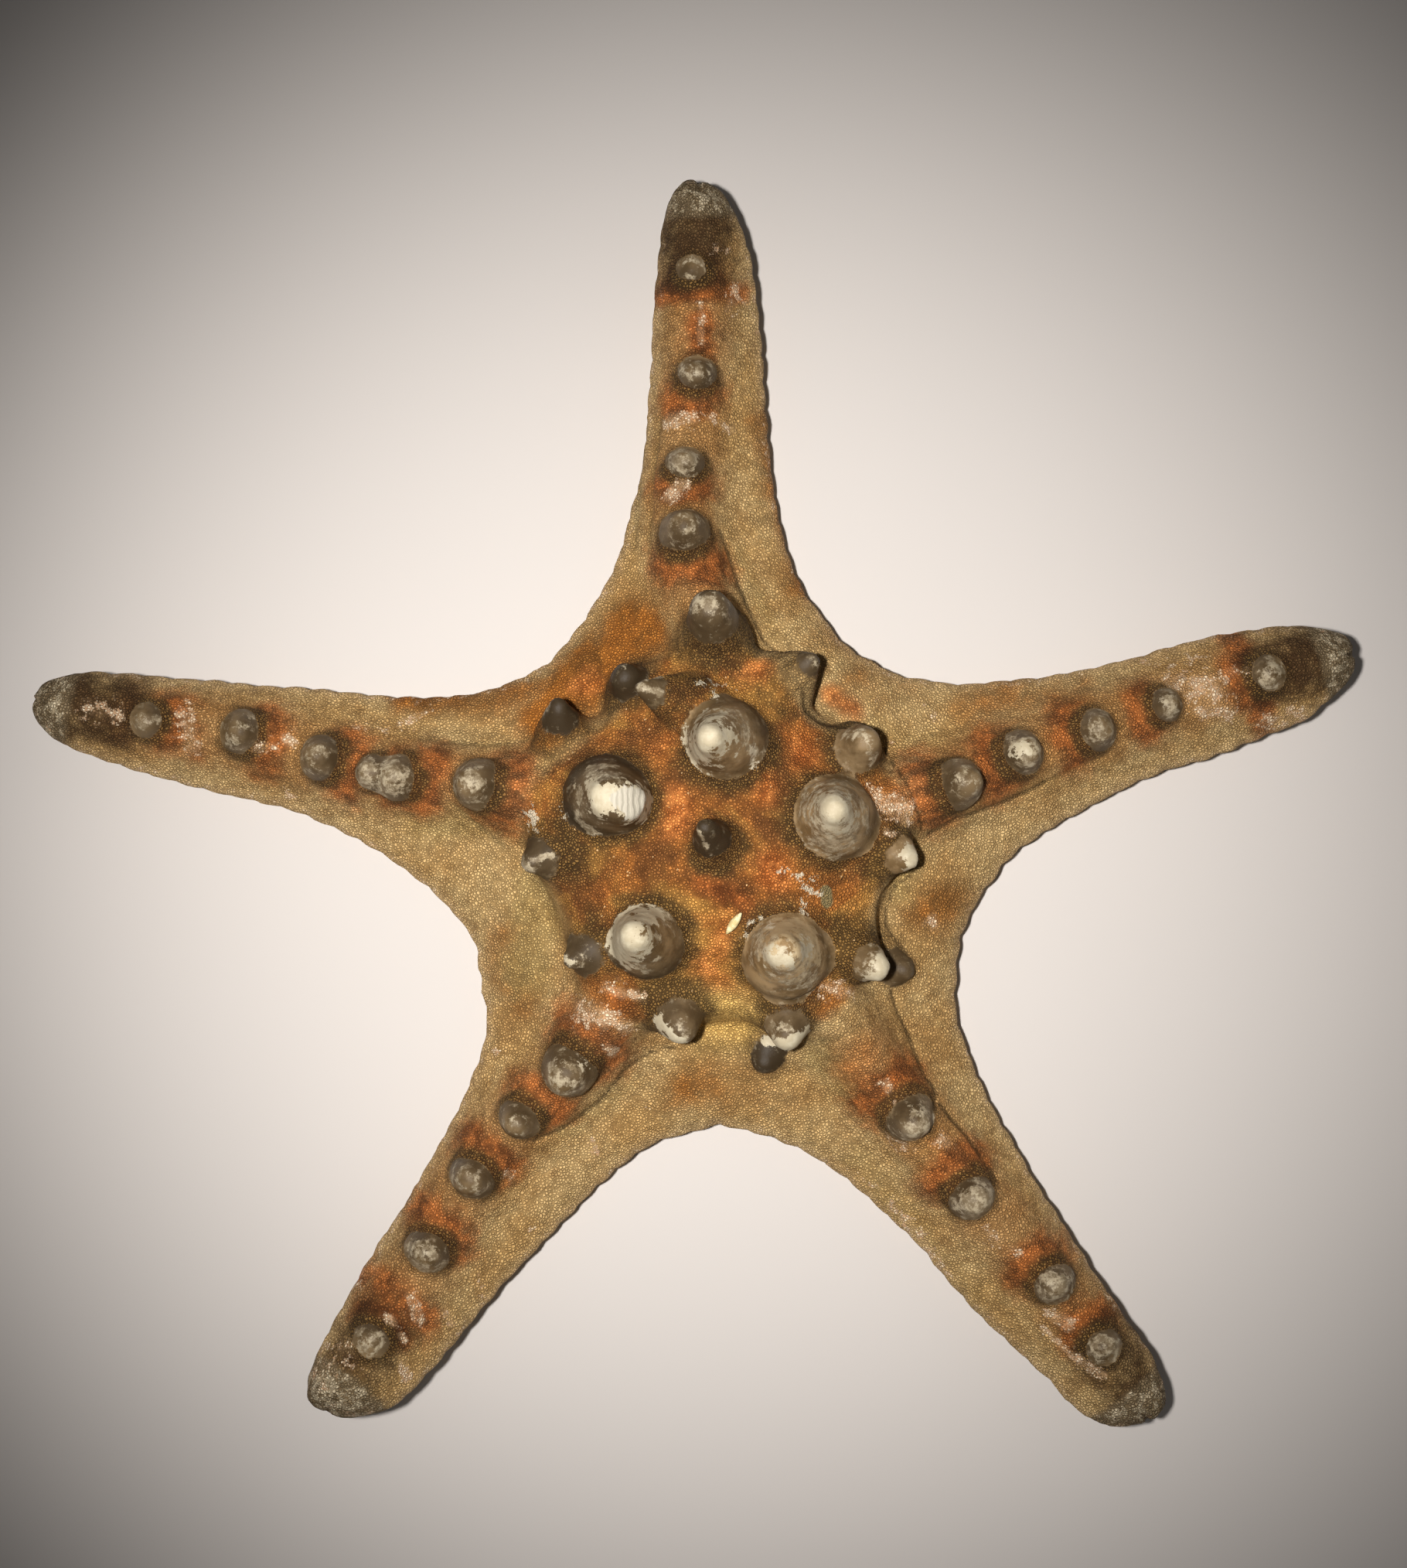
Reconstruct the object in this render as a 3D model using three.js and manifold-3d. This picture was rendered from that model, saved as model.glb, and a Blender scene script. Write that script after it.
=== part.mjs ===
// A dried knobbed sea star: five arms, a raised disc, horny knobs on the disc
// and along the ridge of every arm, and five feeding grooves underneath.
// Millimetres, +Z up, the star resting on its disc with its arm tips curled up.
import * as THREE from 'three';
import { mergeVertices } from 'three/addons/utils/BufferGeometryUtils.js';
import Module from 'manifold-3d';

const wasm = await Module();
wasm.setup();

// Heights of the body, before the arms curl
const edgeHeight = 4.5;
const skirtHeight = 7.6;
const skirtRiseAtDisc = 2.2;
const plateauRimHeight = 16.5;
const plateauHeight = 21;
const shoulder = 4.8;
const underShoulder = 4.2;
const armCliffWidth = 9;
const baseBulge = 11;
const ridgeWidth = 5.2;
const grooveDepth = 2.6;
const grooveWidth = 2.0;
const mouthRadius = 6;
const mouthDepth = 4.5;
const curlStart = 45;

// Half widths are given to the left and right of each arm's heading, seen from above
const stations = [32, 40, 50, 62, 76, 90];
const arms = [
  { heading: 92.2, length: 96.5, cap: 11.5, curl: 160,
    left: [19.5, 14, 10.5, 8, 6.5, 5], right: [17, 12.5, 10.5, 9.5, 9, 7.5],
    ridge: [0.5, 2.5, 3, 1.5, 0.5, 0] },
  { heading: 167.8, length: 100, cap: 12, curl: 170,
    left: [20, 14.5, 10.5, 8, 7.5, 6.5], right: [18.5, 14, 11.5, 10, 8, 6],
    ridge: [-1.5, -1, 0, -1, -1, -0.5] },
  { heading: 233.8, length: 97.5, cap: 10.5, curl: 95,
    left: [24, 17.5, 15, 13, 11.5, 10], right: [20, 12, 8.5, 6.5, 5.5, 4],
    ridge: [1.5, 1, -0.5, -0.5, 1, 1.5] },
  { heading: 307.9, length: 101, cap: 10, curl: 185,
    left: [19, 12.5, 9, 7, 5.5, 4.5], right: [24, 18, 14.5, 12.5, 11.5, 9],
    ridge: [-1.5, -2, -2, -1.5, -0.5, -0.5] },
  { heading: 377.2, length: 95.5, cap: 11.5, curl: 155,
    left: [16, 12.5, 10, 8.5, 8, 6], right: [20, 14, 11, 9, 8.5, 7],
    ridge: [-1.5, -0.5, 0, 0.5, 0.5, 0.5] },
];

// The bays between the arms, each to the left of the arm with the same place in the list:
// direction and distance of the margin, then distance and width of the raised disc's steep rim
const bays = [
  { heading: 132, margin: 36.2, cliff: 25, cliffWidth: 5.5 },
  { heading: 203, margin: 37.6, cliff: 25, cliffWidth: 6.5 },
  { heading: 268, margin: 40.1, cliff: 25, cliffWidth: 7 },
  { heading: 340, margin: 37.4, cliff: 24.5, cliffWidth: 3.5 },
  { heading: 414, margin: 34.4, cliff: 23.5, cliffWidth: 4 },
];
const armCliff = [31, 29, 29.5, 29.5, 28];

// Ridge height above the skirt along an arm
const ridgeStations = [20, 32, 40, 50, 62, 76, 90, 100];
const ridgeHeights = [8.5, 7.8, 6.6, 5.5, 4.6, 3.6, 2.4, 1.2];

// Knobs of the disc: foot, height of foot, tip, foot radius and tip radius
const discKnobs = [
  { foot: [1, 14.5, 19.5], tip: [-1.5, 14, 33.5], radius: 5.5, end: 1.8 },
  { foot: [15.5, 4, 19.5], tip: [14.5, 5, 33.5], radius: 5.6, end: 1.8 },
  { foot: [9, -14.5, 19.5], tip: [8, -13, 32], radius: 5.8, end: 2.4 },
  { foot: [-9.5, -12.5, 19.5], tip: [-11, -11, 32.5], radius: 5, end: 2 },
  { foot: [-15.5, 7, 19], tip: [-13, 6, 30.5], radius: 5.4, end: 2.8 },
  { foot: [-0.5, 0.5, 20.5], tip: [-2, 3, 29], radius: 3.6, end: 1.4 },
  { foot: [0, 28.5, 14], tip: [-1.5, 32.5, 25.5], radius: 5, end: 2.8 },
  { foot: [8.5, 22.5, 14], tip: [13, 25.5, 20], radius: 4.4, end: 1.2 },
  { foot: [18.5, 13, 14], tip: [20, 14.5, 22.5], radius: 4.4, end: 2.2 },
  { foot: [21.5, 0.5, 14], tip: [26.5, -2, 20.5], radius: 5, end: 1.5 },
  { foot: [17.5, -14, 15], tip: [22, -16.5, 22.5], radius: 4.6, end: 1.7 },
  { foot: [22, -16, 7], tip: [27, -17.5, 12.5], radius: 4.2, end: 1.6 },
  { foot: [9.5, -21.5, 14], tip: [9, -26.5, 21], radius: 4.8, end: 2 },
  { foot: [8.5, -26, 6], tip: [6, -31, 11.5], radius: 4.4, end: 1.6 },
  { foot: [-6.5, -21, 14], tip: [-4.5, -25.5, 21], radius: 4.8, end: 1.7 },
  { foot: [-15.5, -13.5, 14], tip: [-20.5, -15.5, 20], radius: 4.7, end: 1.4 },
  { foot: [-21, 0.5, 14], tip: [-26, -2.5, 19.5], radius: 4.8, end: 1.6 },
  { foot: [-21.5, 14.5, 12], tip: [-21.5, 19.5, 19.5], radius: 4.4, end: 1.3 },
  { foot: [-11.5, 21.5, 11], tip: [-13, 23.5, 20.5], radius: 4.2, end: 2 },
  { foot: [-5, 19, 17], tip: [-10.5, 21, 23.5], radius: 4, end: 1.1 },
];

// Knobs of the arms: distance along, offset across, foot radius, height, outward lean
const armKnobs = [
  [[44, 3, 3.6, 4.6, 0.5], [54.5, 2.5, 2.9, 3.2, 0], [68, 0.5, 3, 3.2, 0], [83.5, 0.5, 2.4, 1.8, 0]],
  [[34, -1.5, 3.6, 4.8, 1], [45.5, 0, 3.3, 3.6, 0.5], [49.5, 0, 2.7, 3, 0.5],
    [57.5, -0.5, 3.4, 3.8, 0.5], [70, -1.5, 3.3, 3.4, 0], [83.5, -0.5, 2.8, 2.4, 0]],
  [[36.5, 1.5, 4, 5, 1], [46.5, 0, 3.2, 4, 1], [58.5, -0.5, 3.4, 4.2, 0.5],
    [71.5, 0.5, 3.4, 3.6, 0.5], [86.5, 1.5, 2.8, 2.2, 0]],
  [[45.5, -2, 3.6, 4.6, 1], [60.5, -2, 3.5, 4, 0.5], [77.5, -0.5, 3.2, 3.6, 0],
    [88.5, -0.5, 2.8, 2.6, 0]],
  [[34, -1.5, 3.6, 4.6, 1], [44, 0, 3.3, 4.4, 0.5], [56, 0, 3.2, 3.8, 0.5],
    [67, 0.5, 2.8, 2.8, 0.5], [82.5, 0.5, 2.9, 2.6, 0]],
];

const toRadians = Math.PI / 180;

// A smooth curve through listed points
function curveAt(xs, ys, x, firstSlope) {
  const last = xs.length - 1;
  if (x <= xs[0]) return ys[0];
  if (x >= xs[last]) return ys[last];
  let i = 0;
  while (x > xs[i + 1]) i += 1;
  const slope = (k) => {
    if (k === 0) return firstSlope ?? (ys[1] - ys[0]) / (xs[1] - xs[0]);
    if (k === last) return (ys[last] - ys[last - 1]) / (xs[last] - xs[last - 1]);
    return (ys[k + 1] - ys[k - 1]) / (xs[k + 1] - xs[k - 1]);
  };
  const span = xs[i + 1] - xs[i];
  const u = (x - xs[i]) / span;
  const a = 1 + u * u * (2 * u - 3);
  const b = u * u * (3 - 2 * u);
  const c = u * (1 - u) * (1 - u) * span;
  const d = -u * u * (1 - u) * span;
  return a * ys[i] + b * ys[i + 1] + c * slope(i) + d * slope(i + 1);
}

function smoothStep(u) {
  const c = Math.min(Math.max(u, 0), 1);
  return c * c * (3 - 2 * c);
}

// The margin point of each bay, and the same point measured along its two arms
const bayPoints = bays.map((bay) => new THREE.Vector2(
  bay.margin * Math.cos(bay.heading * toRadians),
  bay.margin * Math.sin(bay.heading * toRadians)));
arms.forEach((arm, i) => {
  arm.along = new THREE.Vector2(Math.cos(arm.heading * toRadians), Math.sin(arm.heading * toRadians));
  arm.across = new THREE.Vector2(-arm.along.y, arm.along.x);
  const leftBay = bayPoints[i];
  const rightBay = bayPoints[(i + 4) % 5];
  const sides = [['left', leftBay, 1], ['right', rightBay, -1]];
  sides.forEach(([side, point, sign]) => {
    const s = point.dot(arm.along);
    const t = point.dot(arm.across) * sign;
    arm[side + 'Stations'] = [s, ...stations];
    arm[side + 'Widths'] = [t, ...arm[side]];
    arm[side + 'Slope'] = -s / t;
    arm[side + 'Start'] = s;
  });
});

function halfWidth(arm, side, s) {
  const width = curveAt(arm[side + 'Stations'], arm[side + 'Widths'], s, arm[side + 'Slope']);
  const into = Math.max(s - (arm.length - arm.cap), 0) / arm.cap;
  return width * Math.sqrt(Math.max(1 - into * into, 0));
}

function ridgeOffset(arm, s) {
  if (s < 32) return arm.ridge[0] * Math.max(s, 0) / 32;
  return curveAt(stations, arm.ridge, s);
}

// One row of an arm runs across it from its right margin to its left margin
function rowPoint(arm, q, v, follow) {
  const sLeft = arm.leftStart + (arm.length - arm.leftStart) * q;
  const sRight = arm.rightStart + (arm.length - arm.rightStart) * q;
  const bulge = baseBulge * (1 - q) ** 3 * (1 - v * v);
  const s = sRight + (sLeft - sRight) * (v + 1) / 2 + bulge;
  const wLeft = halfWidth(arm, 'left', sLeft);
  const wRight = halfWidth(arm, 'right', sRight);
  const fade = Math.min(1, (wLeft + wRight) / 12);
  const middle = follow === 'ridge' ? ridgeOffset(arm, s) * fade : (wLeft - wRight) / 2;
  const t = v > 0 ? middle + v * (wLeft - middle) : middle + v * (wRight + middle);
  return new THREE.Vector2(
    arm.along.x * s + arm.across.x * t,
    arm.along.y * s + arm.across.y * t);
}

// The margin all round, as a closed line of points
const outline = [];
const outlineSteps = 36;
arms.forEach((arm) => {
  for (let k = 0; k < outlineSteps; k += 1) {
    outline.push(rowPoint(arm, Math.sin(k / outlineSteps * Math.PI / 2), -1, 'ridge'));
  }
  for (let k = outlineSteps; k > 0; k -= 1) {
    outline.push(rowPoint(arm, Math.sin(k / outlineSteps * Math.PI / 2), 1, 'ridge'));
  }
});

function marginDistance(x, y) {
  let best = Infinity;
  for (let i = 0; i < outline.length; i += 1) {
    const a = outline[i];
    const b = outline[(i + 1) % outline.length];
    const ex = b.x - a.x;
    const ey = b.y - a.y;
    const size = ex * ex + ey * ey;
    const u = size > 0 ? Math.min(Math.max(((x - a.x) * ex + (y - a.y) * ey) / size, 0), 1) : 0;
    const dx = x - a.x - u * ex;
    const dy = y - a.y - u * ey;
    best = Math.min(best, dx * dx + dy * dy);
  }
  return Math.sqrt(best);
}

function roundedShoulder(distance, radius) {
  const u = 1 - Math.min(distance / radius, 1);
  return Math.sqrt(1 - u * u);
}

// The raised disc: a five-sided plateau with a steep rim
const cliffHeadings = [];
const cliffRadii = [];
const cliffWidths = [];
for (let i = -1; i < 7; i += 1) {
  const k = (i + 5) % 5;
  const turn = 360 * Math.floor(i / 5);
  cliffHeadings.push(arms[k].heading + turn, bays[k].heading + turn);
  cliffRadii.push(armCliff[k], bays[k].cliff);
  cliffWidths.push(armCliffWidth, bays[k].cliffWidth);
}

function headingOf(x, y) {
  const heading = Math.atan2(y, x) / toRadians;
  return heading < 60 ? heading + 360 : heading;
}

function plateau(x, y) {
  const r = Math.hypot(x, y);
  const heading = headingOf(x, y);
  const rim = curveAt(cliffHeadings, cliffRadii, heading);
  const width = curveAt(cliffHeadings, cliffWidths, heading);
  const drop = (plateauHeight - plateauRimHeight) * smoothStep((r - 9) / (rim - 9));
  return (plateauHeight - drop) * (1 - smoothStep((r - rim + width / 2) / width));
}

function ridge(x, y) {
  let best = 0;
  arms.forEach((arm) => {
    const s = arm.along.x * x + arm.along.y * y;
    const t = arm.across.x * x + arm.across.y * y;
    if (s < 12) return;
    const fadeIn = smoothStep((s - 12) / 12);
    const profile = Math.exp(-Math.pow(Math.abs(t - ridgeOffset(arm, s)) / ridgeWidth, 3));
    best = Math.max(best, fadeIn * curveAt(ridgeStations, ridgeHeights, s) * profile);
  });
  return best;
}

function topHeight(x, y) {
  const r = Math.hypot(x, y);
  const skirt = skirtHeight + skirtRiseAtDisc * smoothStep((40 - r) / 14);
  const low = skirt + ridge(x, y);
  const high = plateau(x, y);
  const blend = 1.5;
  const mix = Math.max(blend - Math.abs(low - high), 0) / blend;
  const full = Math.max(low, high) + mix * mix * blend / 4;
  return edgeHeight + (full - edgeHeight) * roundedShoulder(marginDistance(x, y), shoulder);
}

// The middle line of the underside of an arm, where its groove runs
function grooveOffset(arm, s) {
  if (s < arm.leftStart) return 0;
  const middle = (halfWidth(arm, 'left', s) - halfWidth(arm, 'right', s)) / 2;
  return middle * smoothStep((s - arm.leftStart) / 12);
}

function bottomHeight(x, y) {
  const distance = marginDistance(x, y);
  const rise = edgeHeight * (1 - roundedShoulder(distance, underShoulder));
  const r = Math.hypot(x, y);
  let groove = mouthDepth * Math.exp(-Math.pow(r / mouthRadius, 4));
  arms.forEach((arm) => {
    const s = arm.along.x * x + arm.along.y * y;
    const t = arm.across.x * x + arm.across.y * y;
    if (s < 0) return;
    const middle = grooveOffset(arm, s);
    const depth = grooveDepth * smoothStep((arm.length - 2 - s) / 14);
    groove = Math.max(groove, depth * Math.exp(-Math.pow((t - middle) / grooveWidth, 4)));
  });
  return distance < 0.01 ? edgeHeight : rise + groove;
}

// Rows round the disc, from its centre over the rim of the plateau to the margin, then rows
// along the arm to its tip
function discPoint(edge, k) {
  const r = edge.length();
  const heading = headingOf(edge.x, edge.y);
  const rim = curveAt(cliffHeadings, cliffRadii, heading);
  const half = curveAt(cliffHeadings, cliffWidths, heading) / 2;
  const foot = rim + half;
  const radii = [rim * 0.36, rim * 0.7, rim - half, rim - half * 0.35, rim + half * 0.35, foot,
    foot + (r - foot) * 0.5, foot + (r - foot) * 0.86];
  return edge.clone().multiplyScalar(radii[k] / r);
}
const discRowCount = 8;
const armRows = [0, 0.06, 0.125, 0.195, 0.27, 0.35, 0.43, 0.515, 0.6, 0.685, 0.77, 0.85,
  0.91, 0.95, 0.98, 0.996];
const topColumns = [-1, -0.93, -0.77, -0.54, -0.26, 0, 0.26, 0.54, 0.77, 0.93, 1];
const lipColumn = 0.24;
const bottomColumns = [-1, -0.88, -0.6, -lipColumn, 0, lipColumn, 0.6, 0.88, 1];

const positions = [];
function addVertex(point, z) {
  positions.push(point.x, point.y, z);
  return positions.length / 3 - 1;
}

// The columns next to the middle of the underside keep to the groove's two lips
function followGroove(arm, p, v) {
  const s = p.dot(arm.along);
  const widest = (halfWidth(arm, 'left', s) + halfWidth(arm, 'right', s)) / 2;
  const lip = Math.min(grooveWidth * 1.35, widest * 0.35, s * 0.35);
  const t = grooveOffset(arm, s) + lip * v / lipColumn;
  return new THREE.Vector2(
    arm.along.x * s + arm.across.x * t,
    arm.along.y * s + arm.across.y * t);
}

const faces = [];
function addSurface(arm, columns, follow, heightAt, flip) {
  const rows = [];
  const centre = new THREE.Vector2(0, 0);
  rows.push(columns.map(() => addVertex(centre, heightAt(0, 0))));
  for (let k = 0; k < discRowCount; k += 1) {
    rows.push(columns.map((v) => {
      const even = discPoint(rowPoint(arm, 0, v, follow), k);
      const inGroove = follow === 'middle' && Math.abs(v) <= lipColumn;
      const p = inGroove ? followGroove(arm, even, v) : even;
      return addVertex(p, heightAt(p.x, p.y));
    }));
  }
  armRows.forEach((q) => {
    rows.push(columns.map((v) => {
      const even = rowPoint(arm, q, v, follow);
      const inGroove = follow === 'middle' && Math.abs(v) <= lipColumn;
      const p = inGroove ? followGroove(arm, even, v) : even;
      const atMargin = Math.abs(v) === 1;
      return addVertex(p, atMargin ? edgeHeight : heightAt(p.x, p.y));
    }));
  });
  const end = rowPoint(arm, 1, 0, follow);
  rows.push(columns.map(() => addVertex(end, edgeHeight)));
  for (let i = 0; i + 1 < rows.length; i += 1) {
    for (let j = 0; j + 1 < columns.length; j += 1) {
      const a = rows[i][j];
      const b = rows[i + 1][j];
      const c = rows[i + 1][j + 1];
      const d = rows[i][j + 1];
      if (flip) faces.push(a, c, b, a, d, c);
      else faces.push(a, b, c, a, c, d);
    }
  }
}
arms.forEach((arm) => {
  addSurface(arm, topColumns, 'ridge', topHeight, false);
  addSurface(arm, bottomColumns, 'middle', bottomHeight, true);
});
const bodyGeometry = new THREE.BufferGeometry();
bodyGeometry.setAttribute('position', new THREE.Float32BufferAttribute(positions, 3));
bodyGeometry.setIndex(faces);

// A solid from a closed geometry, without the slivers that a pole leaves
function solid(geometry) {
  const bare = geometry.clone();
  bare.deleteAttribute('normal');
  bare.deleteAttribute('uv');
  const merged = mergeVertices(bare, 1e-4);
  const index = merged.index.array;
  const kept = [];
  for (let i = 0; i < index.length; i += 3) {
    const [a, b, c] = [index[i], index[i + 1], index[i + 2]];
    if (a !== b && b !== c && c !== a) kept.push(a, b, c);
  }
  return new wasm.Manifold(new wasm.Mesh({
    numProp: 3,
    vertProperties: new Float32Array(merged.attributes.position.array),
    triVerts: new Uint32Array(kept),
  }));
}

// A knob: a flared foot sunk in the skin, a body and a rounded end
function knobGeometry(radius, endRadius, height, segments, rounded) {
  const sunk = 3;
  const profile = [new THREE.Vector2(0, -sunk), new THREE.Vector2(radius * 1.12, -sunk)];
  profile.push(new THREE.Vector2(radius * 1.04, 0));
  if (rounded) {
    [30, 62].forEach((angle) => {
      const a = angle * toRadians;
      profile.push(new THREE.Vector2(radius * Math.cos(a), height * Math.sin(a)));
    });
  } else {
    profile.push(new THREE.Vector2(radius * 0.8 + endRadius * 0.12, height * 0.3));
    profile.push(new THREE.Vector2(radius * 0.38 + endRadius * 0.6, height * 0.68));
    profile.push(new THREE.Vector2(endRadius * 0.82, height - endRadius * 0.4));
  }
  profile.push(new THREE.Vector2(0, height));
  const geometry = new THREE.LatheGeometry(profile, segments);
  geometry.rotateX(Math.PI / 2);
  return geometry;
}

function placeAlong(geometry, foot, tip) {
  const direction = new THREE.Vector3().subVectors(tip, foot).normalize();
  const turn = new THREE.Quaternion().setFromUnitVectors(new THREE.Vector3(0, 0, 1), direction);
  geometry.applyQuaternion(turn);
  geometry.translate(foot.x, foot.y, foot.z);
  return geometry;
}

let star = solid(bodyGeometry);
discKnobs.forEach((knob) => {
  const foot = new THREE.Vector3(...knob.foot);
  const tip = new THREE.Vector3(...knob.tip);
  const segments = knob.radius > 5 ? 12 : 10;
  const geometry = knobGeometry(knob.radius, knob.end, foot.distanceTo(tip), segments, false);
  star = star.add(solid(placeAlong(geometry, foot, tip)));
});
arms.forEach((arm, i) => {
  armKnobs[i].forEach(([s, t, radius, height, lean]) => {
    const p = new THREE.Vector2(
      arm.along.x * s + arm.across.x * t,
      arm.along.y * s + arm.across.y * t);
    const base = topHeight(p.x, p.y) - 0.8;
    const foot = new THREE.Vector3(p.x, p.y, base);
    const tip = new THREE.Vector3(
      p.x + arm.along.x * lean,
      p.y + arm.along.y * lean,
      base + height + 0.8);
    const geometry = knobGeometry(radius, 0, foot.distanceTo(tip), 10, true);
    star = star.add(solid(placeAlong(geometry, foot, tip)));
  });
});

// The arms curl up towards their tips, each round its own radius
function curled(x, y, z) {
  let result = null;
  arms.forEach((arm) => {
    const s = arm.along.x * x + arm.along.y * y;
    const t = arm.across.x * x + arm.across.y * y;
    if (s <= curlStart || Math.abs(t) > 26) return;
    const angle = (s - curlStart) / arm.curl;
    const reach = curlStart + (arm.curl - z) * Math.sin(angle);
    const height = arm.curl - (arm.curl - z) * Math.cos(angle);
    result = [
      arm.along.x * reach + arm.across.x * t,
      arm.along.y * reach + arm.across.y * t,
      height,
    ];
  });
  return result ?? [x, y, z];
}

const joined = star.getMesh();
const vertices = [];
for (let i = 0; i < joined.vertProperties.length; i += joined.numProp) {
  const p = joined.vertProperties;
  vertices.push(...curled(p[i], p[i + 1], p[i + 2]));
}
const starGeometry = new THREE.BufferGeometry();
starGeometry.setAttribute('position', new THREE.Float32BufferAttribute(vertices, 3));
starGeometry.setIndex(Array.from(joined.triVerts));
starGeometry.computeBoundingBox();
const box = starGeometry.boundingBox;
starGeometry.translate(-(box.min.x + box.max.x) / 2, -(box.min.y + box.max.y) / 2, -box.min.z);
starGeometry.computeVertexNormals();

const skin = new THREE.MeshStandardMaterial({
  name: 'dried_skin',
  color: new THREE.Color(0.36, 0.23, 0.1),
  roughness: 0.75,
  metalness: 0,
});
const starfish = new THREE.Mesh(starGeometry, skin);
starfish.name = 'starfish';

const group = new THREE.Group();
group.add(starfish);
export default group;
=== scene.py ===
"""A dried knobbed sea star on a pale floor: its skin as one fine mesh, its groove spines, and its looks."""
import math

import bpy
import numpy as np
import openvdb as vdb
from mathutils import Matrix, Vector


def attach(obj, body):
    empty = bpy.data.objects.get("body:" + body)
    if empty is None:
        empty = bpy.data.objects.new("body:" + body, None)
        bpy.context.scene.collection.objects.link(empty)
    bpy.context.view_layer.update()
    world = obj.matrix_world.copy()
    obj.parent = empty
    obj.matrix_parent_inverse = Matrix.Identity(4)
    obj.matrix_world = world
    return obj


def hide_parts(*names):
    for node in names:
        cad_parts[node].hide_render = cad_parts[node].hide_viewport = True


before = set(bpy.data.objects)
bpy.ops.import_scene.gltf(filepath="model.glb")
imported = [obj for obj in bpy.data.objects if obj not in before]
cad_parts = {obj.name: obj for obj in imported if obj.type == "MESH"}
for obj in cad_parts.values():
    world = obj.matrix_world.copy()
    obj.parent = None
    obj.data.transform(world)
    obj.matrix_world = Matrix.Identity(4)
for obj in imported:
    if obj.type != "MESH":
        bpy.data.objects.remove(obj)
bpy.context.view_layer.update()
rng = np.random.default_rng(7)
MM = 0.001

# Sizes in millimetres, with the middle of the disc at the origin, before the arms curl
EDGE_HEIGHT = 4.5
SKIRT_HEIGHT = 7.6
SKIRT_RISE = 2.2
RIM_HEIGHT = 16.5
PLATEAU_HEIGHT = 21.0
SHOULDER = 4.8
UNDER_SHOULDER = 4.2
ARM_CLIFF_WIDTH = 9.0
RIDGE_WIDTH = 5.2
GROOVE_DEPTH = 2.6
GROOVE_WIDTH = 2.0
MOUTH_RADIUS = 6.0
MOUTH_DEPTH = 4.5
CURL_START = 45.0
BASE_BULGE = 11.0
BLEND = 1.5
# The skirt rises inwards from this radius, the plateau is level inside the crown
SKIRT_RISE_START = 40.0
SKIRT_RISE_RUN = 14.0
CROWN_RADIUS = 9.0
RIDGE_START = 12.0
RIDGE_RUN = 12.0
GROOVE_END = 2.0
GROOVE_RUN = 14.0
# Where an arm is narrower than this, its ridge moves over to its middle
NARROW_ARM = 12.0
# How far to the side of its middle line anything belongs to an arm
ARM_REACH = 26.0
# The curled star is moved by this, so that its bounding box is centred over the origin
PLACE = np.array([3.159, -7.268, 0.0])

# Rows and columns of the body's first mesh, steps of its outline on each side of an arm, points measured at
# once, and the grid in which the knobs are joined to the body
RIM_ROWS = 26
ARM_ROWS = 84
COLUMNS = 41
OUTLINE_STEPS = 36
CHUNK = 20000
VOXEL = 0.65
BAND = 5
GRID_MARGIN = 6
ROOM_FOR_KNOBS = 14.0
SMOOTHING_STEPS = (0.6, -0.62)
SMOOTHING_ROUNDS = 3

STATIONS = np.array([32, 40, 50, 62, 76, 90], float)
ARMS = [
    dict(heading=92.2, length=96.5, cap=11.5, curl=160, left=[19.5, 14, 10.5, 8, 6.5, 5],
         right=[17, 12.5, 10.5, 9.5, 9, 7.5], ridge=[0.5, 2.5, 3, 1.5, 0.5, 0]),
    dict(heading=167.8, length=100, cap=12, curl=170, left=[20, 14.5, 10.5, 8, 7.5, 6.5],
         right=[18.5, 14, 11.5, 10, 8, 6], ridge=[-1.5, -1, 0, -1, -1, -0.5]),
    dict(heading=233.8, length=97.5, cap=10.5, curl=95, left=[24, 17.5, 15, 13, 11.5, 10],
         right=[20, 12, 8.5, 6.5, 5.5, 4], ridge=[1.5, 1, -0.5, -0.5, 1, 1.5]),
    dict(heading=307.9, length=101, cap=10, curl=185, left=[19, 12.5, 9, 7, 5.5, 4.5],
         right=[24, 18, 14.5, 12.5, 11.5, 9], ridge=[-1.5, -2, -2, -1.5, -0.5, -0.5]),
    dict(heading=377.2, length=95.5, cap=11.5, curl=155, left=[16, 12.5, 10, 8.5, 8, 6],
         right=[20, 14, 11, 9, 8.5, 7], ridge=[-1.5, -0.5, 0, 0.5, 0.5, 0.5]),
]
# Direction and distance of each bay's margin, then distance and width of the plateau's rim
BAYS = [(132, 36.2, 25, 5.5), (203, 37.6, 25, 6.5), (268, 40.1, 25, 7), (340, 37.4, 24.5, 3.5),
        (414, 34.4, 23.5, 4)]
ARM_CLIFF = [31, 29, 29.5, 29.5, 28]
RIDGE_STATIONS = np.array([20, 32, 40, 50, 62, 76, 90, 100], float)
RIDGE_HEIGHTS = np.array([8.5, 7.8, 6.6, 5.5, 4.6, 3.6, 2.4, 1.2])

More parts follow.
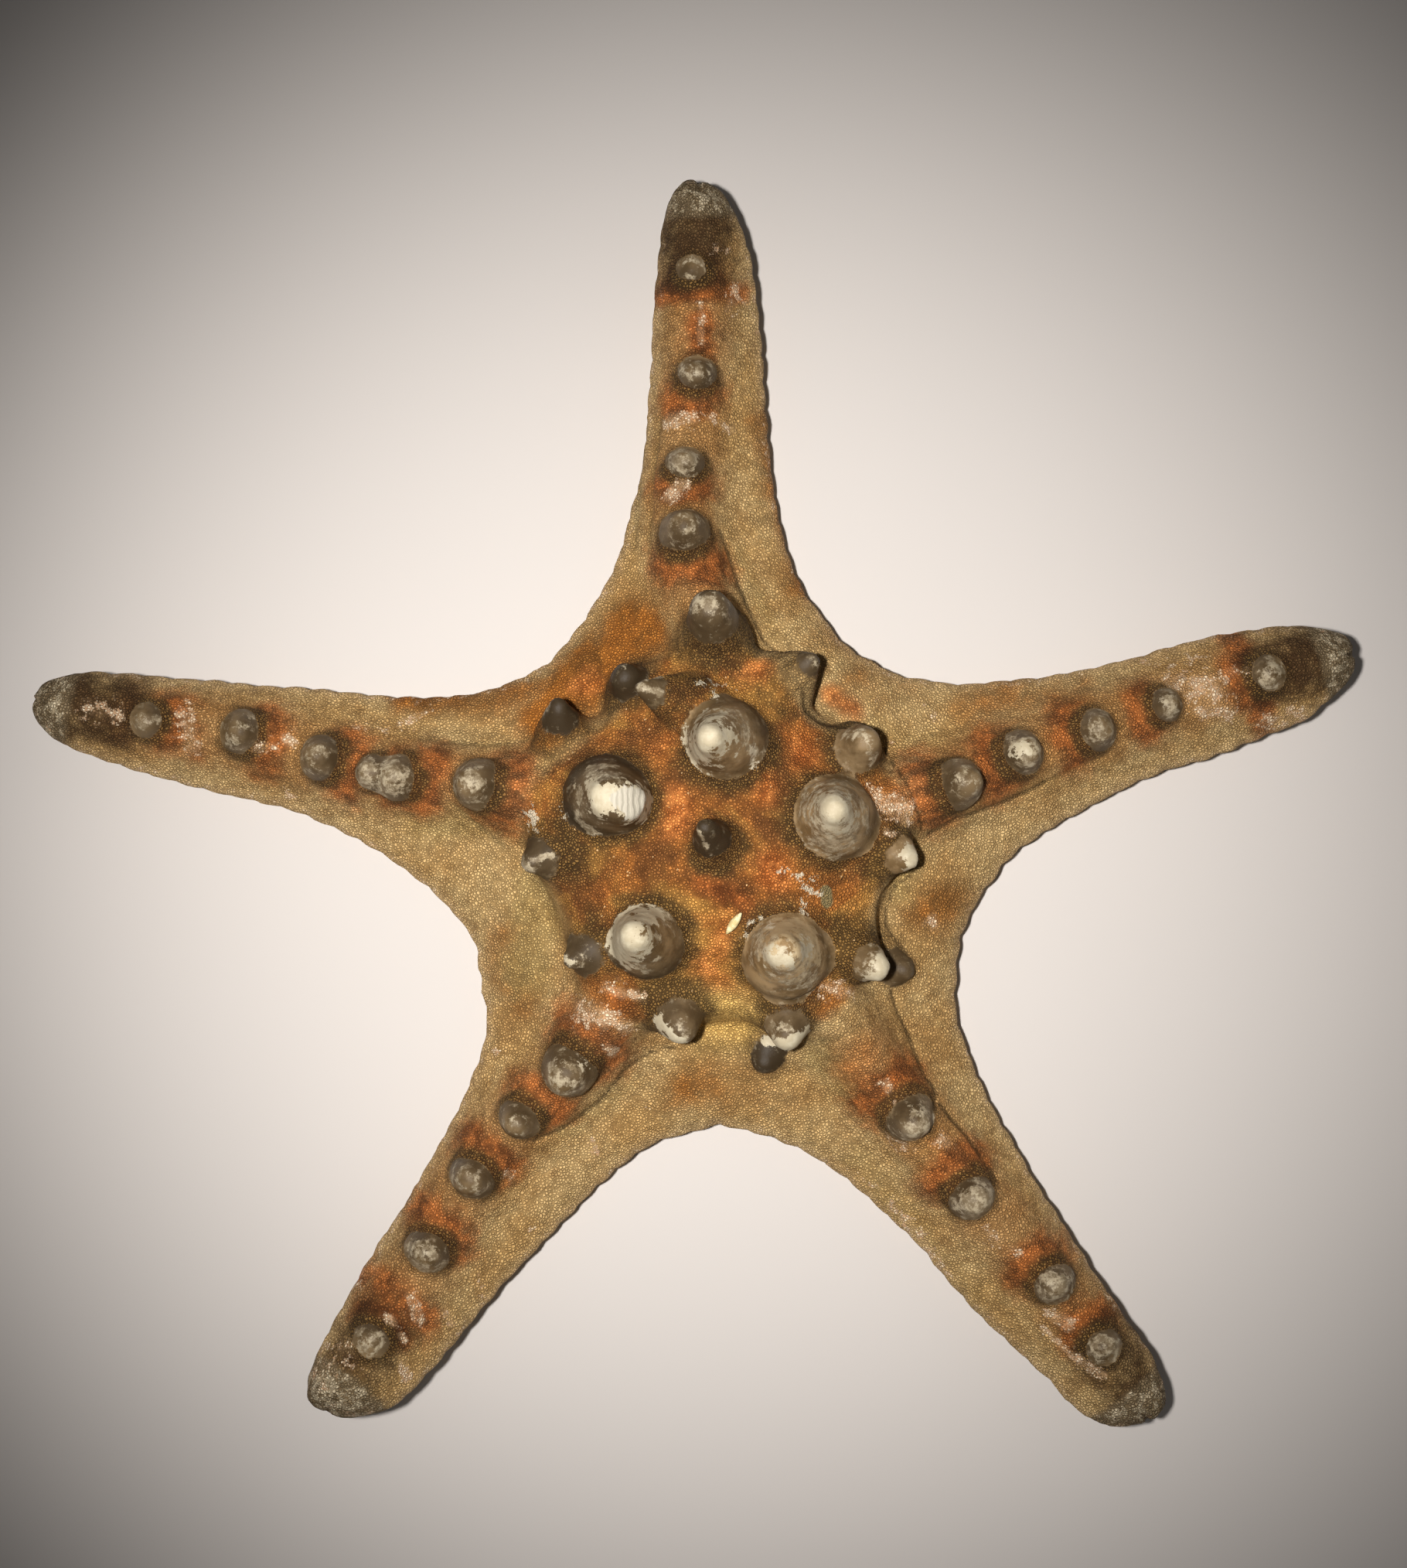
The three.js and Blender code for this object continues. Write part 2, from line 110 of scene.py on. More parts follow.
# Knobs of the disc: foot, tip, foot radius, end radius, darkness, where the bare horn starts along it, and
# how dark the skin round it is
DISC_KNOBS = [
    ((1, 14.5, 19.5), (-1.5, 14, 33.5), 5.5, 1.8, 0.35, -1, 1.0),
    ((15.5, 4, 19.5), (14.5, 5, 33.5), 5.6, 1.8, 0.0, -1, 0.9),
    ((9, -14.5, 19.5), (8, -13, 32), 5.8, 2.4, 0.0, -1, 0.8),
    ((-9.5, -12.5, 19.5), (-11, -11, 32.5), 5, 2, 0.4, -1, 1.0),
    ((-15.5, 7, 19), (-13.5, 6.2, 30.5), 5.4, 2.8, 0.75, -1, 1.0),
    ((-0.5, 0.5, 20.5), (-2, 3, 29), 3.3, 1.2, 1.0, 0.15, 1.0),
    ((0, 28.5, 14), (-1.5, 32.5, 25.5), 5, 2.8, 0.85, 0.4, 0.9),
    ((8.5, 22.5, 14), (13.2, 25.5, 20.5), 4.8, 1.2, 0.9, 0.62, 0.6),
    ((18.5, 13, 14), (20, 14.5, 22.5), 4.4, 2.2, 0.5, 0.25, 0.9),
    ((21.5, 0.5, 14), (26.5, -2, 20.5), 5, 1.5, 0.3, 0.5, 0.95),
    ((17.5, -14, 15), (22, -16.5, 22.5), 4.6, 1.7, 0.5, 0.45, 0.9),
    ((22, -16, 7), (27, -17.5, 12.5), 4.2, 1.6, 0.8, 0.35, 0.7),
    ((9.5, -21.5, 14), (9, -26.5, 21), 4.8, 2, 0.7, 0.4, 0.9),
    ((8.5, -26, 6), (6, -31, 11.5), 4.4, 1.6, 1.0, 0.35, 0.8),
    ((-6.5, -21, 14), (-4.5, -25.5, 21), 4.9, 2.1, 0.75, 0.35, 1.0),
    ((-15.5, -13.5, 14), (-20.5, -15.5, 20), 4.7, 1.4, 0.9, 0.4, 1.0),
    ((-21, 0.5, 14), (-26.2, -2.5, 20), 5, 1.6, 0.9, 0.45, 1.0),
    ((-21.5, 14.5, 12), (-21.8, 19.8, 20), 4.5, 1.2, 1.0, 0.4, 0.6),
    ((-11.5, 21.5, 11), (-13, 23.5, 20.5), 4.2, 2, 1.0, 0.4, 0.95),
    ((-4, 19.5, 18.5), (-10.8, 21.2, 25.5), 4.4, 1.1, 0.8, 0.5, 0.65),
    ((-13, 6.3, 19), (-11.8, 5.8, 30), 4.4, 2.4, 0.75, -1, 1.0),
]
LEFT_PRIMARY = 4
BROKEN_SHELF = 20
CENTRE_CONE = 5
FIRST_RIM_KNOB = 6
PRIMARY_BLEND = 2.2
RIM_BLEND = 2.4
ARM_KNOB_SINK = 0.12
ARM_KNOB_SET = 0.8
ARM_KNOB_FOOT = 0.97
ARM_KNOB_END = 0.68
ARM_KNOB_DARK = 0.4
# How brown each arm's tip is
TIP_BROWN = [1.0, 0.95, 0.75, 0.78, 0.9]
# Knobs of the arms: distance along, offset across, foot radius, height, outward lean, scuffs
ARM_KNOBS = [
    [(44, 3, 3.6, 4.6, 0.5, 0.25), (54.5, 2.5, 2.9, 3.2, 0, 0.6), (68, 0.5, 3, 3.2, 0, 0.4),
     (83.5, 0.5, 2.4, 1.8, 0, 0.3)],
    [(34, -1.5, 3.6, 4.8, 1, 0.5), (45.5, 0, 3.3, 3.6, 0.5, 0.7), (49.5, 0, 2.7, 3, 0.5, 0.7),
     (57.5, -0.5, 3.4, 3.8, 0.5, 0.4), (70, -1.5, 3.3, 3.4, 0, 0.35), (83.5, -0.5, 2.8, 2.4, 0, 0.3)],
    [(36.5, 1.5, 4, 5, 1, 0.5), (46.5, 0, 3.2, 4, 1, 0.35), (58.5, -0.5, 3.4, 4.2, 0.5, 0.45),
     (71.5, 0.5, 3.4, 3.6, 0.5, 0.55), (86.5, 1.5, 2.8, 2.2, 0, 0.6)],
    [(45.5, -2, 3.6, 4.6, 1, 0.75), (60.5, -2, 3.5, 4, 0.5, 0.95), (77.5, -0.5, 3.2, 3.6, 0, 0.8),
     (88.5, -0.5, 2.8, 2.6, 0, 0.75)],
    [(34, -1.5, 3.6, 4.6, 1, 0.4), (44, 0, 3.3, 4.4, 0.5, 0.6), (56, 0, 3.2, 3.8, 0.5, 0.5),
     (67, 0.5, 2.8, 2.8, 0.5, 0.5), (82.5, 0.5, 2.9, 2.6, 0, 0.5)],
]

# The left primary knob is broken off: its end is level, then slopes to the right in fibrous layers
BROKEN_HEIGHT = 29.6
BROKEN_FROM = -14.0
BROKEN_SLOPE = 0.5
BROKEN_FACE_BOTTOM = 25.5
FIBRE_PITCH = 0.72

# Places on the skin, seen from above, for each mask: two ends, radius and strength
PLACES = {
    "white": [
        (-2, 13.6, -0.8, 14.5, 3.3, 1), (14.6, 5, 14.8, 4.6, 3, 1), (-12.6, -13, -12, -9.8, 3.1, 1),
        (-9.8, -9, -8.8, -8.8, 1.5, 1), (-9.6, -11.4, -9.3, -12.8, 1.2, 0.9),
        (-15.7, 7.6, -15.4, 5.4, 2, 1), (-13.2, 6.6, -10.4, 5.7, 2.6, 1),
        (6.6, -13.9, 8.4, -14.1, 1.5, 0.95), (10.8, -12.4, 11.2, -13.4, 1.1, 0.95),
        (25.8, -0.6, 26.3, -2.6, 1.5, 1), (22.4, -14.4, 20.6, -18, 1.6, 1), (7, -27, 11.6, -25.4, 1.4, 1),
        (-8.4, -22.9, -4.6, -26.6, 1.1, 1), (-20.4, -15.2, -19.8, -15.6, 0.8, 0.7),
        (42, 13.6, 41.2, 13.2, 1.3, 0.8), (-18, -29, -17.6, -28.6, 1.2, 0.7),
    ],
    "cream": [
        (10.6, -11.4, 11.4, -13.8, 2.4, 1), (6.8, -10.4, 11, -10, 1, 0.9),
        (6.6, -13.4, 8.4, -14.4, 1.6, 0.8),
    ],
    "film": [
        (-2.5, 17, 2, 17.8, 0.7, 0.7), (3.2, 16.2, 4.5, 12.2, 0.8, 0.7), (4.7, 11.5, 6, 12, 0.7, 0.7),
        (14.6, 4.8, 14.8, 2.6, 3.6, 1), (14.4, 1.2, 16.4, 1.2, 2, 0.9), (18.9, 5.7, 19.3, 2.2, 1, 0.7),
        (13.1, 8.7, 17.1, 8.5, 0.6, 0.7), (11.5, 6.2, 11, 4.7, 0.7, 0.7),
        (6, -12.7, 10.8, -16.4, 2.6, 0.75), (8, -18.5, 12.1, -18, 0.8, 0.7),
        (-12.1, -14.9, -10.1, -15.9, 0.9, 0.8), (-7.1, -8.9, -6.6, -9.9, 0.7, 0.7),
        (-9, -11.5, -8, -11.2, 0.6, 0.8), (-8.1, -14.4, -7.9, -14.4, 0.5, 0.7),
        (-18.7, 8.2, -18.1, 4.7, 0.8, 0.75), (-17.2, 9.7, -13.1, 9.2, 0.6, 0.7),
        (-18.9, 3.7, -16.3, 1.9, 0.5, 0.9), (-17.3, 10.6, -13.2, 10.8, 0.4, 0.9),
        (-2.6, 2.2, -1.1, -0.9, 0.3, 1), (-3.7, 3.2, -3.8, 0.7, 0.3, 1), (-2.7, 3.7, -1.5, 3.7, 0.4, 0.8),
        (-3, 32.8, -1, 31.8, 1.4, 0.9), (-4, 32.6, -3.2, 34.3, 0.5, 0.9), (-9.8, 22.3, -6.2, 23.2, 0.5, 1),
        (-9.3, 20.8, -8.2, 20.6, 0.6, 0.8), (-10.6, 21.6, -10.4, 21.6, 0.5, 1),
        (12.4, 25.6, 12.9, 24.7, 0.5, 0.5), (17.6, 15.6, 19.1, 15.1, 0.8, 0.7),
        (19.8, 14.2, 20.9, 11.6, 0.7, 0.6), (25.3, 2.7, 26.3, 1.1, 0.6, 0.6),
        (-26.9, -1.3, -25.7, -3.1, 0.8, 1), (-25.1, -1.7, -22.2, -0.7, 0.5, 0.9),
        (-24.2, 18, -23.1, 19.4, 0.4, 0.7), (-12.5, 24.6, -13.6, 23.6, 0.4, 0.6),
        (21, -14.5, 20, -17, 1.4, 0.5), (9, -24.5, 8, -26, 1.6, 0.5), (-5.5, -23.5, -5, -25, 1.2, 0.5),
        (-18.5, -15, -20, -15.5, 1, 0.6),
    ],
    "grit": [
        (4.4, 13.2, 4.6, 10.8, 0.8, 0.8), (11.6, -7.2, 11.4, -8.4, 0.9, 0.7), (8.4, -3.3, 13, -4, 0.8, 0.6),
        (11.5, -5.1, 13.5, -6.4, 0.8, 0.7), (-1, 22, -0.5, 20.4, 0.9, 0.7), (-3, 22, 3.2, 21.8, 0.7, 0.5),
        (-20.6, 3.4, -21.6, 6, 0.8, 0.5), (3, -12, 5, -9.6, 0.7, 0.5), (5.7, -9.6, 6.7, -10.2, 0.7, 0.7),
        (-25.8, 5.4, -25.3, 2.7, 0.9, 1),
    ],
    "pale": [
        (-7, 61, -4, 61.5, 1.3, 1), (-1, 61.5, 1.5, 60.5, 1.1, 0.7), (-6.8, 49.5, -5, 51.5, 1.3, 1),
        (-2.5, 73, -2.6, 78, 0.7, 0.8), (1.5, 78, 3.5, 83, 1.2, 0.6), (-1, 86, 2, 86.5, 0.7, 0.5),
        (0.5, 79.5, 6, 79.5, 0.6, 0.5), (66, 23.5, 70.5, 22.5, 2.6, 0.9), (69, 19.5, 73.5, 19.5, 1.4, 0.9),
        (72, 24.5, 76, 25.5, 1.1, 0.5), (79, 18, 84, 19, 1.8, 0.8), (62, 26.5, 70, 27, 1.0, 0.5),
        (21.8, 6.2, 25, 4.8, 1.9, 1), (20.4, 8, 22.4, 7.2, 0.8, 0.7), (22.2, 2.4, 23.4, 1.6, 0.8, 0.6),
        (22.5, 21, 24, 20.5, 0.6, 0.5), (29, 20, 31.5, 18, 0.7, 0.5), (23, -32.5, 23.2, -33, 0.9, 1),
        (25, -35, 25.5, -35.5, 0.8, 0.8), (31, -40.5, 31.6, -41, 1.2, 0.7),
        (24, -40.5, 26, -41.5, 1.2, 0.6), (38, -54, 39, -55.5, 1.1, 0.8),
        (41.5, -56.5, 42.5, -57, 0.9, 0.6), (47, -66, 49.5, -67.5, 1.2, 0.8), (46, -68, 50, -71.5, 0.6, 1),
        (50, -71.5, 54, -74, 0.8, 1), (14, -19, 17.4, -19.6, 1.3, 0.8),
        (-15.5, -19, -10.5, -20.2, 1.1, 0.8), (-19, -22.5, -15.5, -23, 1.7, 1),
        (-14, -23.5, -12.5, -24.5, 1.2, 1), (-15, -27.5, -14.4, -28.4, 0.9, 1),
        (-30, -46.5, -29.6, -46.9, 0.9, 1), (-44.5, -64.5, -43.5, -67.5, 1.1, 1),
        (-47.8, -67.4, -47, -68.2, 0.8, 0.9), (-45.8, -70, -45.4, -70.4, 0.6, 1),
        (-39.4, -66.8, -38.6, -68.4, 0.8, 0.9), (-35, -62, -34, -64, 0.7, 0.6),
        (-45.5, -74.5, -45, -75.5, 1, 0.9), (-54, -72, -57, -75, 3, 0.5),
        (-10.5, -36.5, -10, -36.6, 0.9, 0.5), (-18, -42, -17.4, -42.6, 1.2, 0.6),
        (-27, -55, -26, -54, 1, 0.4), (-31.5, -29, -31, -29.6, 1, 0.6),
        (-76.5, 19.5, -75.5, 14.5, 1.5, 0.8), (-66, 14, -63.5, 14.4, 1, 0.8),
        (-61.5, 15.4, -60.5, 14.8, 1.1, 1), (-62, 7.5, -61, 7.4, 0.8, 0.8),
        (-45, 17.4, -41.5, 19.6, 0.8, 0.7), (-52, 17.4, -47, 16.4, 0.6, 0.6),
        (-43, 16.4, -41, 16, 0.6, 0.5), (-90, 19.6, -85, 18.8, 1.6, 0.7), (17, -44.5, 25, -50.5, 0.9, 0.4),
        (25, -51, 33, -61, 1.0, 0.8), (30, -10.5, 30.6, -11, 1.2, 0.6), (-16.5, 37, -16, 36.4, 0.8, 0.5),
        (24.5, 14.5, 26, 13, 0.5, 0.4),
    ],
    "warm": [
        (-24, 18, -12, 31, 6.5, 1), (16, 21, 20, 24, 4, 0.5), (30, -9, 31, -8, 6, 0.75),
        (-6, -34, 4, -34, 6, 0.55), (-30, -14, -28, -22, 6, 0.55), (-22, 22, -45, 22, 4.5, 0.75),
        (36, 20, 52, 22, 5, 0.6), (16, 30, 30, 22, 4, 0.4), (12, 38, 8, 62, 4.5, 0.65),
        (30, -34, 36, -44, 4, 0.35), (-8, 34, -14, 36, 5, 0.4),
    ],
    "olive": [
        (-25, -6, -27, -18, 5, 1), (27, 3, 26, -6, 3.5, 0.8), (14, -29, 22, -36, 4, 0.8),
        (-15, 15, -24, 9, 4, 0.7), (-30, 5, -42, 3, 4, 0.8), (8, 30, 3, 42, 2.4, 0.6),
        (-3, -28, 4, -28, 3, 0.7), (30, 4, 44, 9, 3, 0.5), (-22, -40, -12, -33, 3, 0.6),
        (22, 17, 30, 15, 3, 0.6), (-26, -30, -30, -40, 3, 0.4), (20, -44, 36, -65, 4, 0.6),
        (-13, 46, -11, 66, 2.4, 0.5),
    ],
    "glow": [
        (7.5, -2.5, 7.5, -3.5, 3.4, 1), (10.5, 13.5, 11.5, 12.5, 4, 0.8), (-6, 6, -6, 3, 3.5, 0.9),
        (6, 9, 6, 7, 3, 0.8), (2, 24.5, 6, 24.5, 2.4, 1), (-2, -16, 0, -18, 4, 0.8),
        (1, -11, 0, -15, 3.5, 0.75), (-8, 13, -6, 16, 3, 0.6), (-14.5, -2.5, -16, -6, 3.5, 0.5),
        (19, -4, 18, -8, 3, 0.5), (-19, 22.5, -17.5, 23.5, 4, 0.65), (-14, 30.5, -12, 29.5, 2.5, 0.2),
        (16, 21.5, 19, 19.5, 2.6, 0.8), (18, -31, 20, -29, 4, 0.7), (24, -31, 25, -33, 3, 0.7),
        (-17, 3, -18, -1, 3, 0.5), (-6, 24, -2, 25, 2, 0.5),
    ],
    "rust": [
        (-8.5, 80, 3, 80.5, 2.6, 0.9), (-2.5, 76, -2.5, 66, 3, 0.95), (-4, 73, 0, 74, 3, 0.6),
        (74.5, 29.8, 78.5, 18, 3, 0.9), (-51, -61.5, -43, -67.5, 4.6, 0.85), (-40, -55, -39, -56, 3.4, 0.5),
        (-75.5, 20, -74.5, 13, 3, 0.6), (50.5, -64.5, 51.5, -66, 4.2, 0.6), (30.5, -41, 33, -43, 3.6, 0.5),
        (-3.5, 36.5, -2, 39, 3.6, 0.6), (32.5, 8.5, 33, 12, 2.8, 0.6), (-34.5, 8, -34, 5, 2.6, 0.6),
        (-16.5, -24.5, -18, -22.5, 3.6, 0.6), (-14, -20, -12, -22.5, 2.6, 0.7),
        (-3.5, 24.5, 3, 24.5, 2, 0.5), (-2, -5, 3, -7.5, 2.8, 0.8),
    ],
    "tan": [(-2, -23, 3, -24, 4.5, 1)],
    "madreporite": [(14.4, -5.9, 14.6, -7.4, 1.0, 1)],
    "fibre": [(-11.8, 6.0, -10.2, 5.7, 2.2, 1)],
}
FLECK_ENDS = ((1.0, -11.5, 21.7), (3.0, -8.7, 21.9))
FLECK_RADIUS = 0.6
SPINE_PITCH = 1.5
SPINE_RADIUS = 0.45
# Distance from the middle of the groove, and height
SPINE_FOOT = (2.4, 1.4)
SPINE_TIP = (0.85, 0.35)
SPINE_SIDES = 6
FLECK_SIDES = 10
SCATTER = 0.25
# Place along a spine, and share of its radius there
SPINE_PROFILE = [(0, 1), (0.5, 0.95), (0.88, 0.7)]
# The first spines' distance from the middle, and how far before the tip of an arm the last ones stand
FIRST_SPINE = 9
LAST_SPINE = 7

# Creases of the dried skin, as lines seen from above: carved, and painted dark with dirt and painted shadow
CREASES = [
    [(0.5, 45), (2, 41), (3, 37.5), (4.5, 34), (6.5, 29.5), (9, 27)],
    [(11.5, 21.5), (12, 19), (14, 17.5), (18.5, 16.5)],
    [(23.5, 14), (25, 10.5), (26.5, 6.5), (28.5, 2)],
    [(28, -3.5), (25, -5.5), (24, -8), (23.5, -10.5), (24.5, -12.5), (27, -15)],
    [(29.5, 1.5), (34, 4), (40.5, 6), (46.5, 9)],
    [(24.5, -20.5), (25.5, -23.5), (27.5, -27.5), (29, -32), (30.5, -34), (30, -36.5)],
    [(31, -36), (34.5, -40), (37, -43.5), (39.5, -47)],
    [(-26, -41.5), (-20.5, -39), (-16.5, -36), (-13, -31.5), (-9.5, -29), (-4, -27.5)],
]
# Faint lines, carved shallow and tinted: olive strips on the skirts, and in part painted shadow along soft
# edges
FAINT_LINES = [
    [(12.5, -27.5), (16.5, -26), (19.5, -24.5)],
    [(-10.5, 62), (-11.5, 52), (-12, 43)], [(-8.5, 62), (-9.5, 50), (-10, 41)],
    [(-25, 15.5), (-33, 14.5), (-42, 15.5)], [(-37.5, 6), (-30.5, 0)], [(46.5, 9), (54.5, 12.5)],
]
CREASE_WIDTH = 0.38
CREASE_DEPTH = 0.45
FAINT_DEPTH = 0.35
SLIT_DEPTH = 0.6
# Colour zones of an arm: half width of the brown band on its ridge and its start,
# then lengths measured back from its tip
RIDGE_BAND = 6.0
RIDGE_TINT_START = 26.0
TIP_BROWN_LENGTH = 18.5
CRUST_LENGTH = 7.5
SLIT_LENGTH = 2.6
SLIT_WIDTH = 0.35
GROOVE_LIP = 2.6
# How far the margin's pale edge, which is partly painted light to offset its shading, and its wear reach in
RIM_WIDTH = 1.3
RIM_WEAR_WIDTH = 1.2
SCALLOP_PITCH = 4.0
SCALLOP_DEPTH = 0.22


def smooth_step(u):
    c = np.clip(u, 0, 1)
    return c * c * (3 - 2 * c)


LATTICE_SIZE = 32
LATTICE = rng.random((LATTICE_SIZE,) * 3)


def lumps(p, size):
    """Smooth random numbers from 0 to 1, in lumps of the given size."""
    q = p / size
    cell = np.floor(q).astype(int)
    f = smooth_step(q - cell)
    total = np.zeros(p.shape[:-1])
    for corner in np.ndindex(2, 2, 2):
        weight = np.prod(np.where(corner, f, 1 - f), axis=-1)
        i, j, k = np.moveaxis((cell + corner) % LATTICE_SIZE, -1, 0)
        total += weight * LATTICE[i, j, k]
    return total


def rough(p, size):
    """Lumps with finer lumps on them."""
    return (lumps(p, size) + 0.5 * lumps(p + 7.3, size / 2.1) + 0.25 * lumps(p + 3.1, size / 4.3)) / 1.75


def bell(distance, width, power=2):
    """A falloff from 1 to 0 with distance."""
    return np.exp(-np.abs(distance / width) ** power)


def segment_distance(x, y, x0, y0, x1, y1):
    dx = x1 - x0
    dy = y1 - y0
    u = np.clip(((x - x0) * dx + (y - y0) * dy) / max(dx * dx + dy * dy, 1e-9), 0, 1)
    return np.hypot(x - x0 - u * dx, y - y0 - u * dy)


def spots(x, y, places):
    """Soft round or long spots, from their two ends, radius and strength."""
    out = np.zeros(np.shape(x))
    for x0, y0, x1, y1, radius, strength in places:
        out = np.maximum(out, strength * bell(segment_distance(x, y, x0, y0, x1, y1), radius))
    return out


def lines(x, y, paths, width):
    """Thin soft lines along listed points."""
    out = np.zeros(np.shape(x))
    for path in paths:
        for a, b in zip(path, path[1:]):
            out = np.maximum(out, bell(segment_distance(x, y, *a, *b), width))
    return out


def smooth_max(a, b, blend):
    """The higher of two values, with a rounded join between them."""
    mix = np.maximum(blend - np.abs(a - b), 0) / blend
    return np.maximum(a, b) + mix * mix * blend / 4


def curve_at(xs, ys, x, first_slope=None):
    """A smooth curve through listed points, flat beyond its ends."""
    xs = np.asarray(xs, float)
    ys = np.asarray(ys, float)
    slopes = np.empty(len(xs))
    slopes[1:-1] = (ys[2:] - ys[:-2]) / (xs[2:] - xs[:-2])
    slopes[0] = (ys[1] - ys[0]) / (xs[1] - xs[0]) if first_slope is None else first_slope
    slopes[-1] = (ys[-1] - ys[-2]) / (xs[-1] - xs[-2])
    x = np.clip(x, xs[0], xs[-1])
    i = np.clip(np.searchsorted(xs, x, side="right") - 1, 0, len(xs) - 2)
    span = xs[i + 1] - xs[i]
    u = (x - xs[i]) / span
    return ((1 + u * u * (2 * u - 3)) * ys[i] + u * u * (3 - 2 * u) * ys[i + 1]
            + u * (1 - u) ** 2 * span * slopes[i] - u * u * (1 - u) * span * slopes[i + 1])


for index, arm in enumerate(ARMS):
    angle = math.radians(arm["heading"])
    arm["along"] = np.array([math.cos(angle), math.sin(angle)])
    arm["across"] = np.array([-math.sin(angle), math.cos(angle)])
    for side, bay, sign in (("left", BAYS[index], 1), ("right", BAYS[index - 1], -1)):
        turn = math.radians(bay[0])
        point = bay[1] * np.array([math.cos(turn), math.sin(turn)])
        start = float(point @ arm["along"])
        width = float(point @ arm["across"]) * sign
        arm[side + "_start"] = start
        arm[side + "_stations"] = np.concatenate([[start], STATIONS])
        arm[side + "_widths"] = np.concatenate([[width], arm[side]])
        arm[side + "_slope"] = -start / width


def half_width(arm, side, s):
    width = curve_at(arm[side + "_stations"], arm[side + "_widths"], s, arm[side + "_slope"])
    into = np.maximum(s - (arm["length"] - arm["cap"]), 0) / arm["cap"]
    return width * np.sqrt(np.maximum(1 - into * into, 0))


def ridge_offset(arm, s):
    near = arm["ridge"][0] * np.maximum(s, 0) / STATIONS[0]
    return np.where(s < STATIONS[0], near, curve_at(STATIONS, arm["ridge"], s))


def arm_middle(arm, s):
    """The middle between the two margins of an arm."""
    return (half_width(arm, "left", s) - half_width(arm, "right", s)) / 2


def arm_place(arm, x, y):
    """How far along an arm points are, and how far to its left."""
    return (arm["along"][0] * x + arm["along"][1] * y,
            arm["across"][0] * x + arm["across"][1] * y)


def arm_point(arm, s, t):
    """The point at a distance along an arm and to its left."""
    return np.stack([arm["along"][0] * s + arm["across"][0] * t,
                     arm["along"][1] * s + arm["across"][1] * t], axis=-1)


def row_point(arm, q, v, follow_ridge=True):
    """A point of the row that crosses an arm from its right margin (-1) to its left (1)."""
    s_left = arm["left_start"] + (arm["length"] - arm["left_start"]) * q
    s_right = arm["right_start"] + (arm["length"] - arm["right_start"]) * q
    s = s_right + (s_left - s_right) * (v + 1) / 2 + BASE_BULGE * (1 - q) ** 3 * (1 - v * v)
    w_left = half_width(arm, "left", s_left)
    w_right = half_width(arm, "right", s_right)
    if follow_ridge:
        middle = ridge_offset(arm, s) * np.minimum(1, (w_left + w_right) / NARROW_ARM)
    else:
        middle = (w_left - w_right) / 2
    t = np.where(v > 0, middle + v * (w_left - middle), middle + v * (w_right + middle))
    return arm_point(arm, s, t)


def make_outline():
    steps = np.sin(np.arange(OUTLINE_STEPS + 1) / OUTLINE_STEPS * math.pi / 2)
    runs = []
    for arm in ARMS:
        runs.append(row_point(arm, steps[:-1], np.full(OUTLINE_STEPS, -1.0)))
        runs.append(row_point(arm, steps[:0:-1], np.full(OUTLINE_STEPS, 1.0)))
    return np.concatenate(runs)


OUTLINE = make_outline()


def margin_place(x, y):
    """Distance of points to the star's outline, seen from above, and how far along it they are."""
    edges = np.roll(OUTLINE, -1, axis=0) - OUTLINE
    sizes = np.maximum((edges ** 2).sum(axis=1), 1e-12)
    starts = np.concatenate([[0], np.cumsum(np.sqrt(sizes))[:-1]])
    flat_x = np.ravel(x)
    flat_y = np.ravel(y)
    distance = np.empty(len(flat_x))
    along = np.empty(len(flat_x))
    for first in range(0, len(flat_x), CHUNK):
        part = slice(first, first + CHUNK)
        dx = flat_x[part, None] - OUTLINE[:, 0]
        dy = flat_y[part, None] - OUTLINE[:, 1]
        u = np.clip((dx * edges[:, 0] + dy * edges[:, 1]) / sizes, 0, 1)
        near = (dx - u * edges[:, 0]) ** 2 + (dy - u * edges[:, 1]) ** 2
        best = near.argmin(axis=1)
        rows = np.arange(len(best))
        distance[part] = np.sqrt(near[rows, best])
        along[part] = starts[best] + u[rows, best] * np.sqrt(sizes[best])
    return distance.reshape(np.shape(x)), along.reshape(np.shape(x))


def margin_distance(x, y):
    return margin_place(x, y)[0]


def rounded_shoulder(distance, radius):
    u = 1 - np.minimum(distance / radius, 1)
    return np.sqrt(1 - u * u)


def rim_tables():
    headings = []
    radii = []
    widths = []
    for i in range(-1, 7):
        k = i % 5
        turn = 360 * (i // 5)
        headings += [ARMS[k]["heading"] + turn, BAYS[k][0] + turn]
        radii += [ARM_CLIFF[k], BAYS[k][2]]
        widths += [ARM_CLIFF_WIDTH, BAYS[k][3]]
    return headings, radii, widths


RIM_HEADINGS, RIM_RADII, RIM_WIDTHS = rim_tables()


def rim_at(x, y):
    """Distance and width of the plateau's rim in the direction of points."""
    heading = np.degrees(np.arctan2(y, x))
    heading = np.where(heading < 60, heading + 360, heading)
    return curve_at(RIM_HEADINGS, RIM_RADII, heading), curve_at(RIM_HEADINGS, RIM_WIDTHS, heading)


def plateau(x, y):
    r = np.hypot(x, y)
    rim, width = rim_at(x, y)
    drop = (PLATEAU_HEIGHT - RIM_HEIGHT) * smooth_step((r - CROWN_RADIUS) / (rim - CROWN_RADIUS))
    return (PLATEAU_HEIGHT - drop) * (1 - smooth_step((r - rim + width / 2) / width))


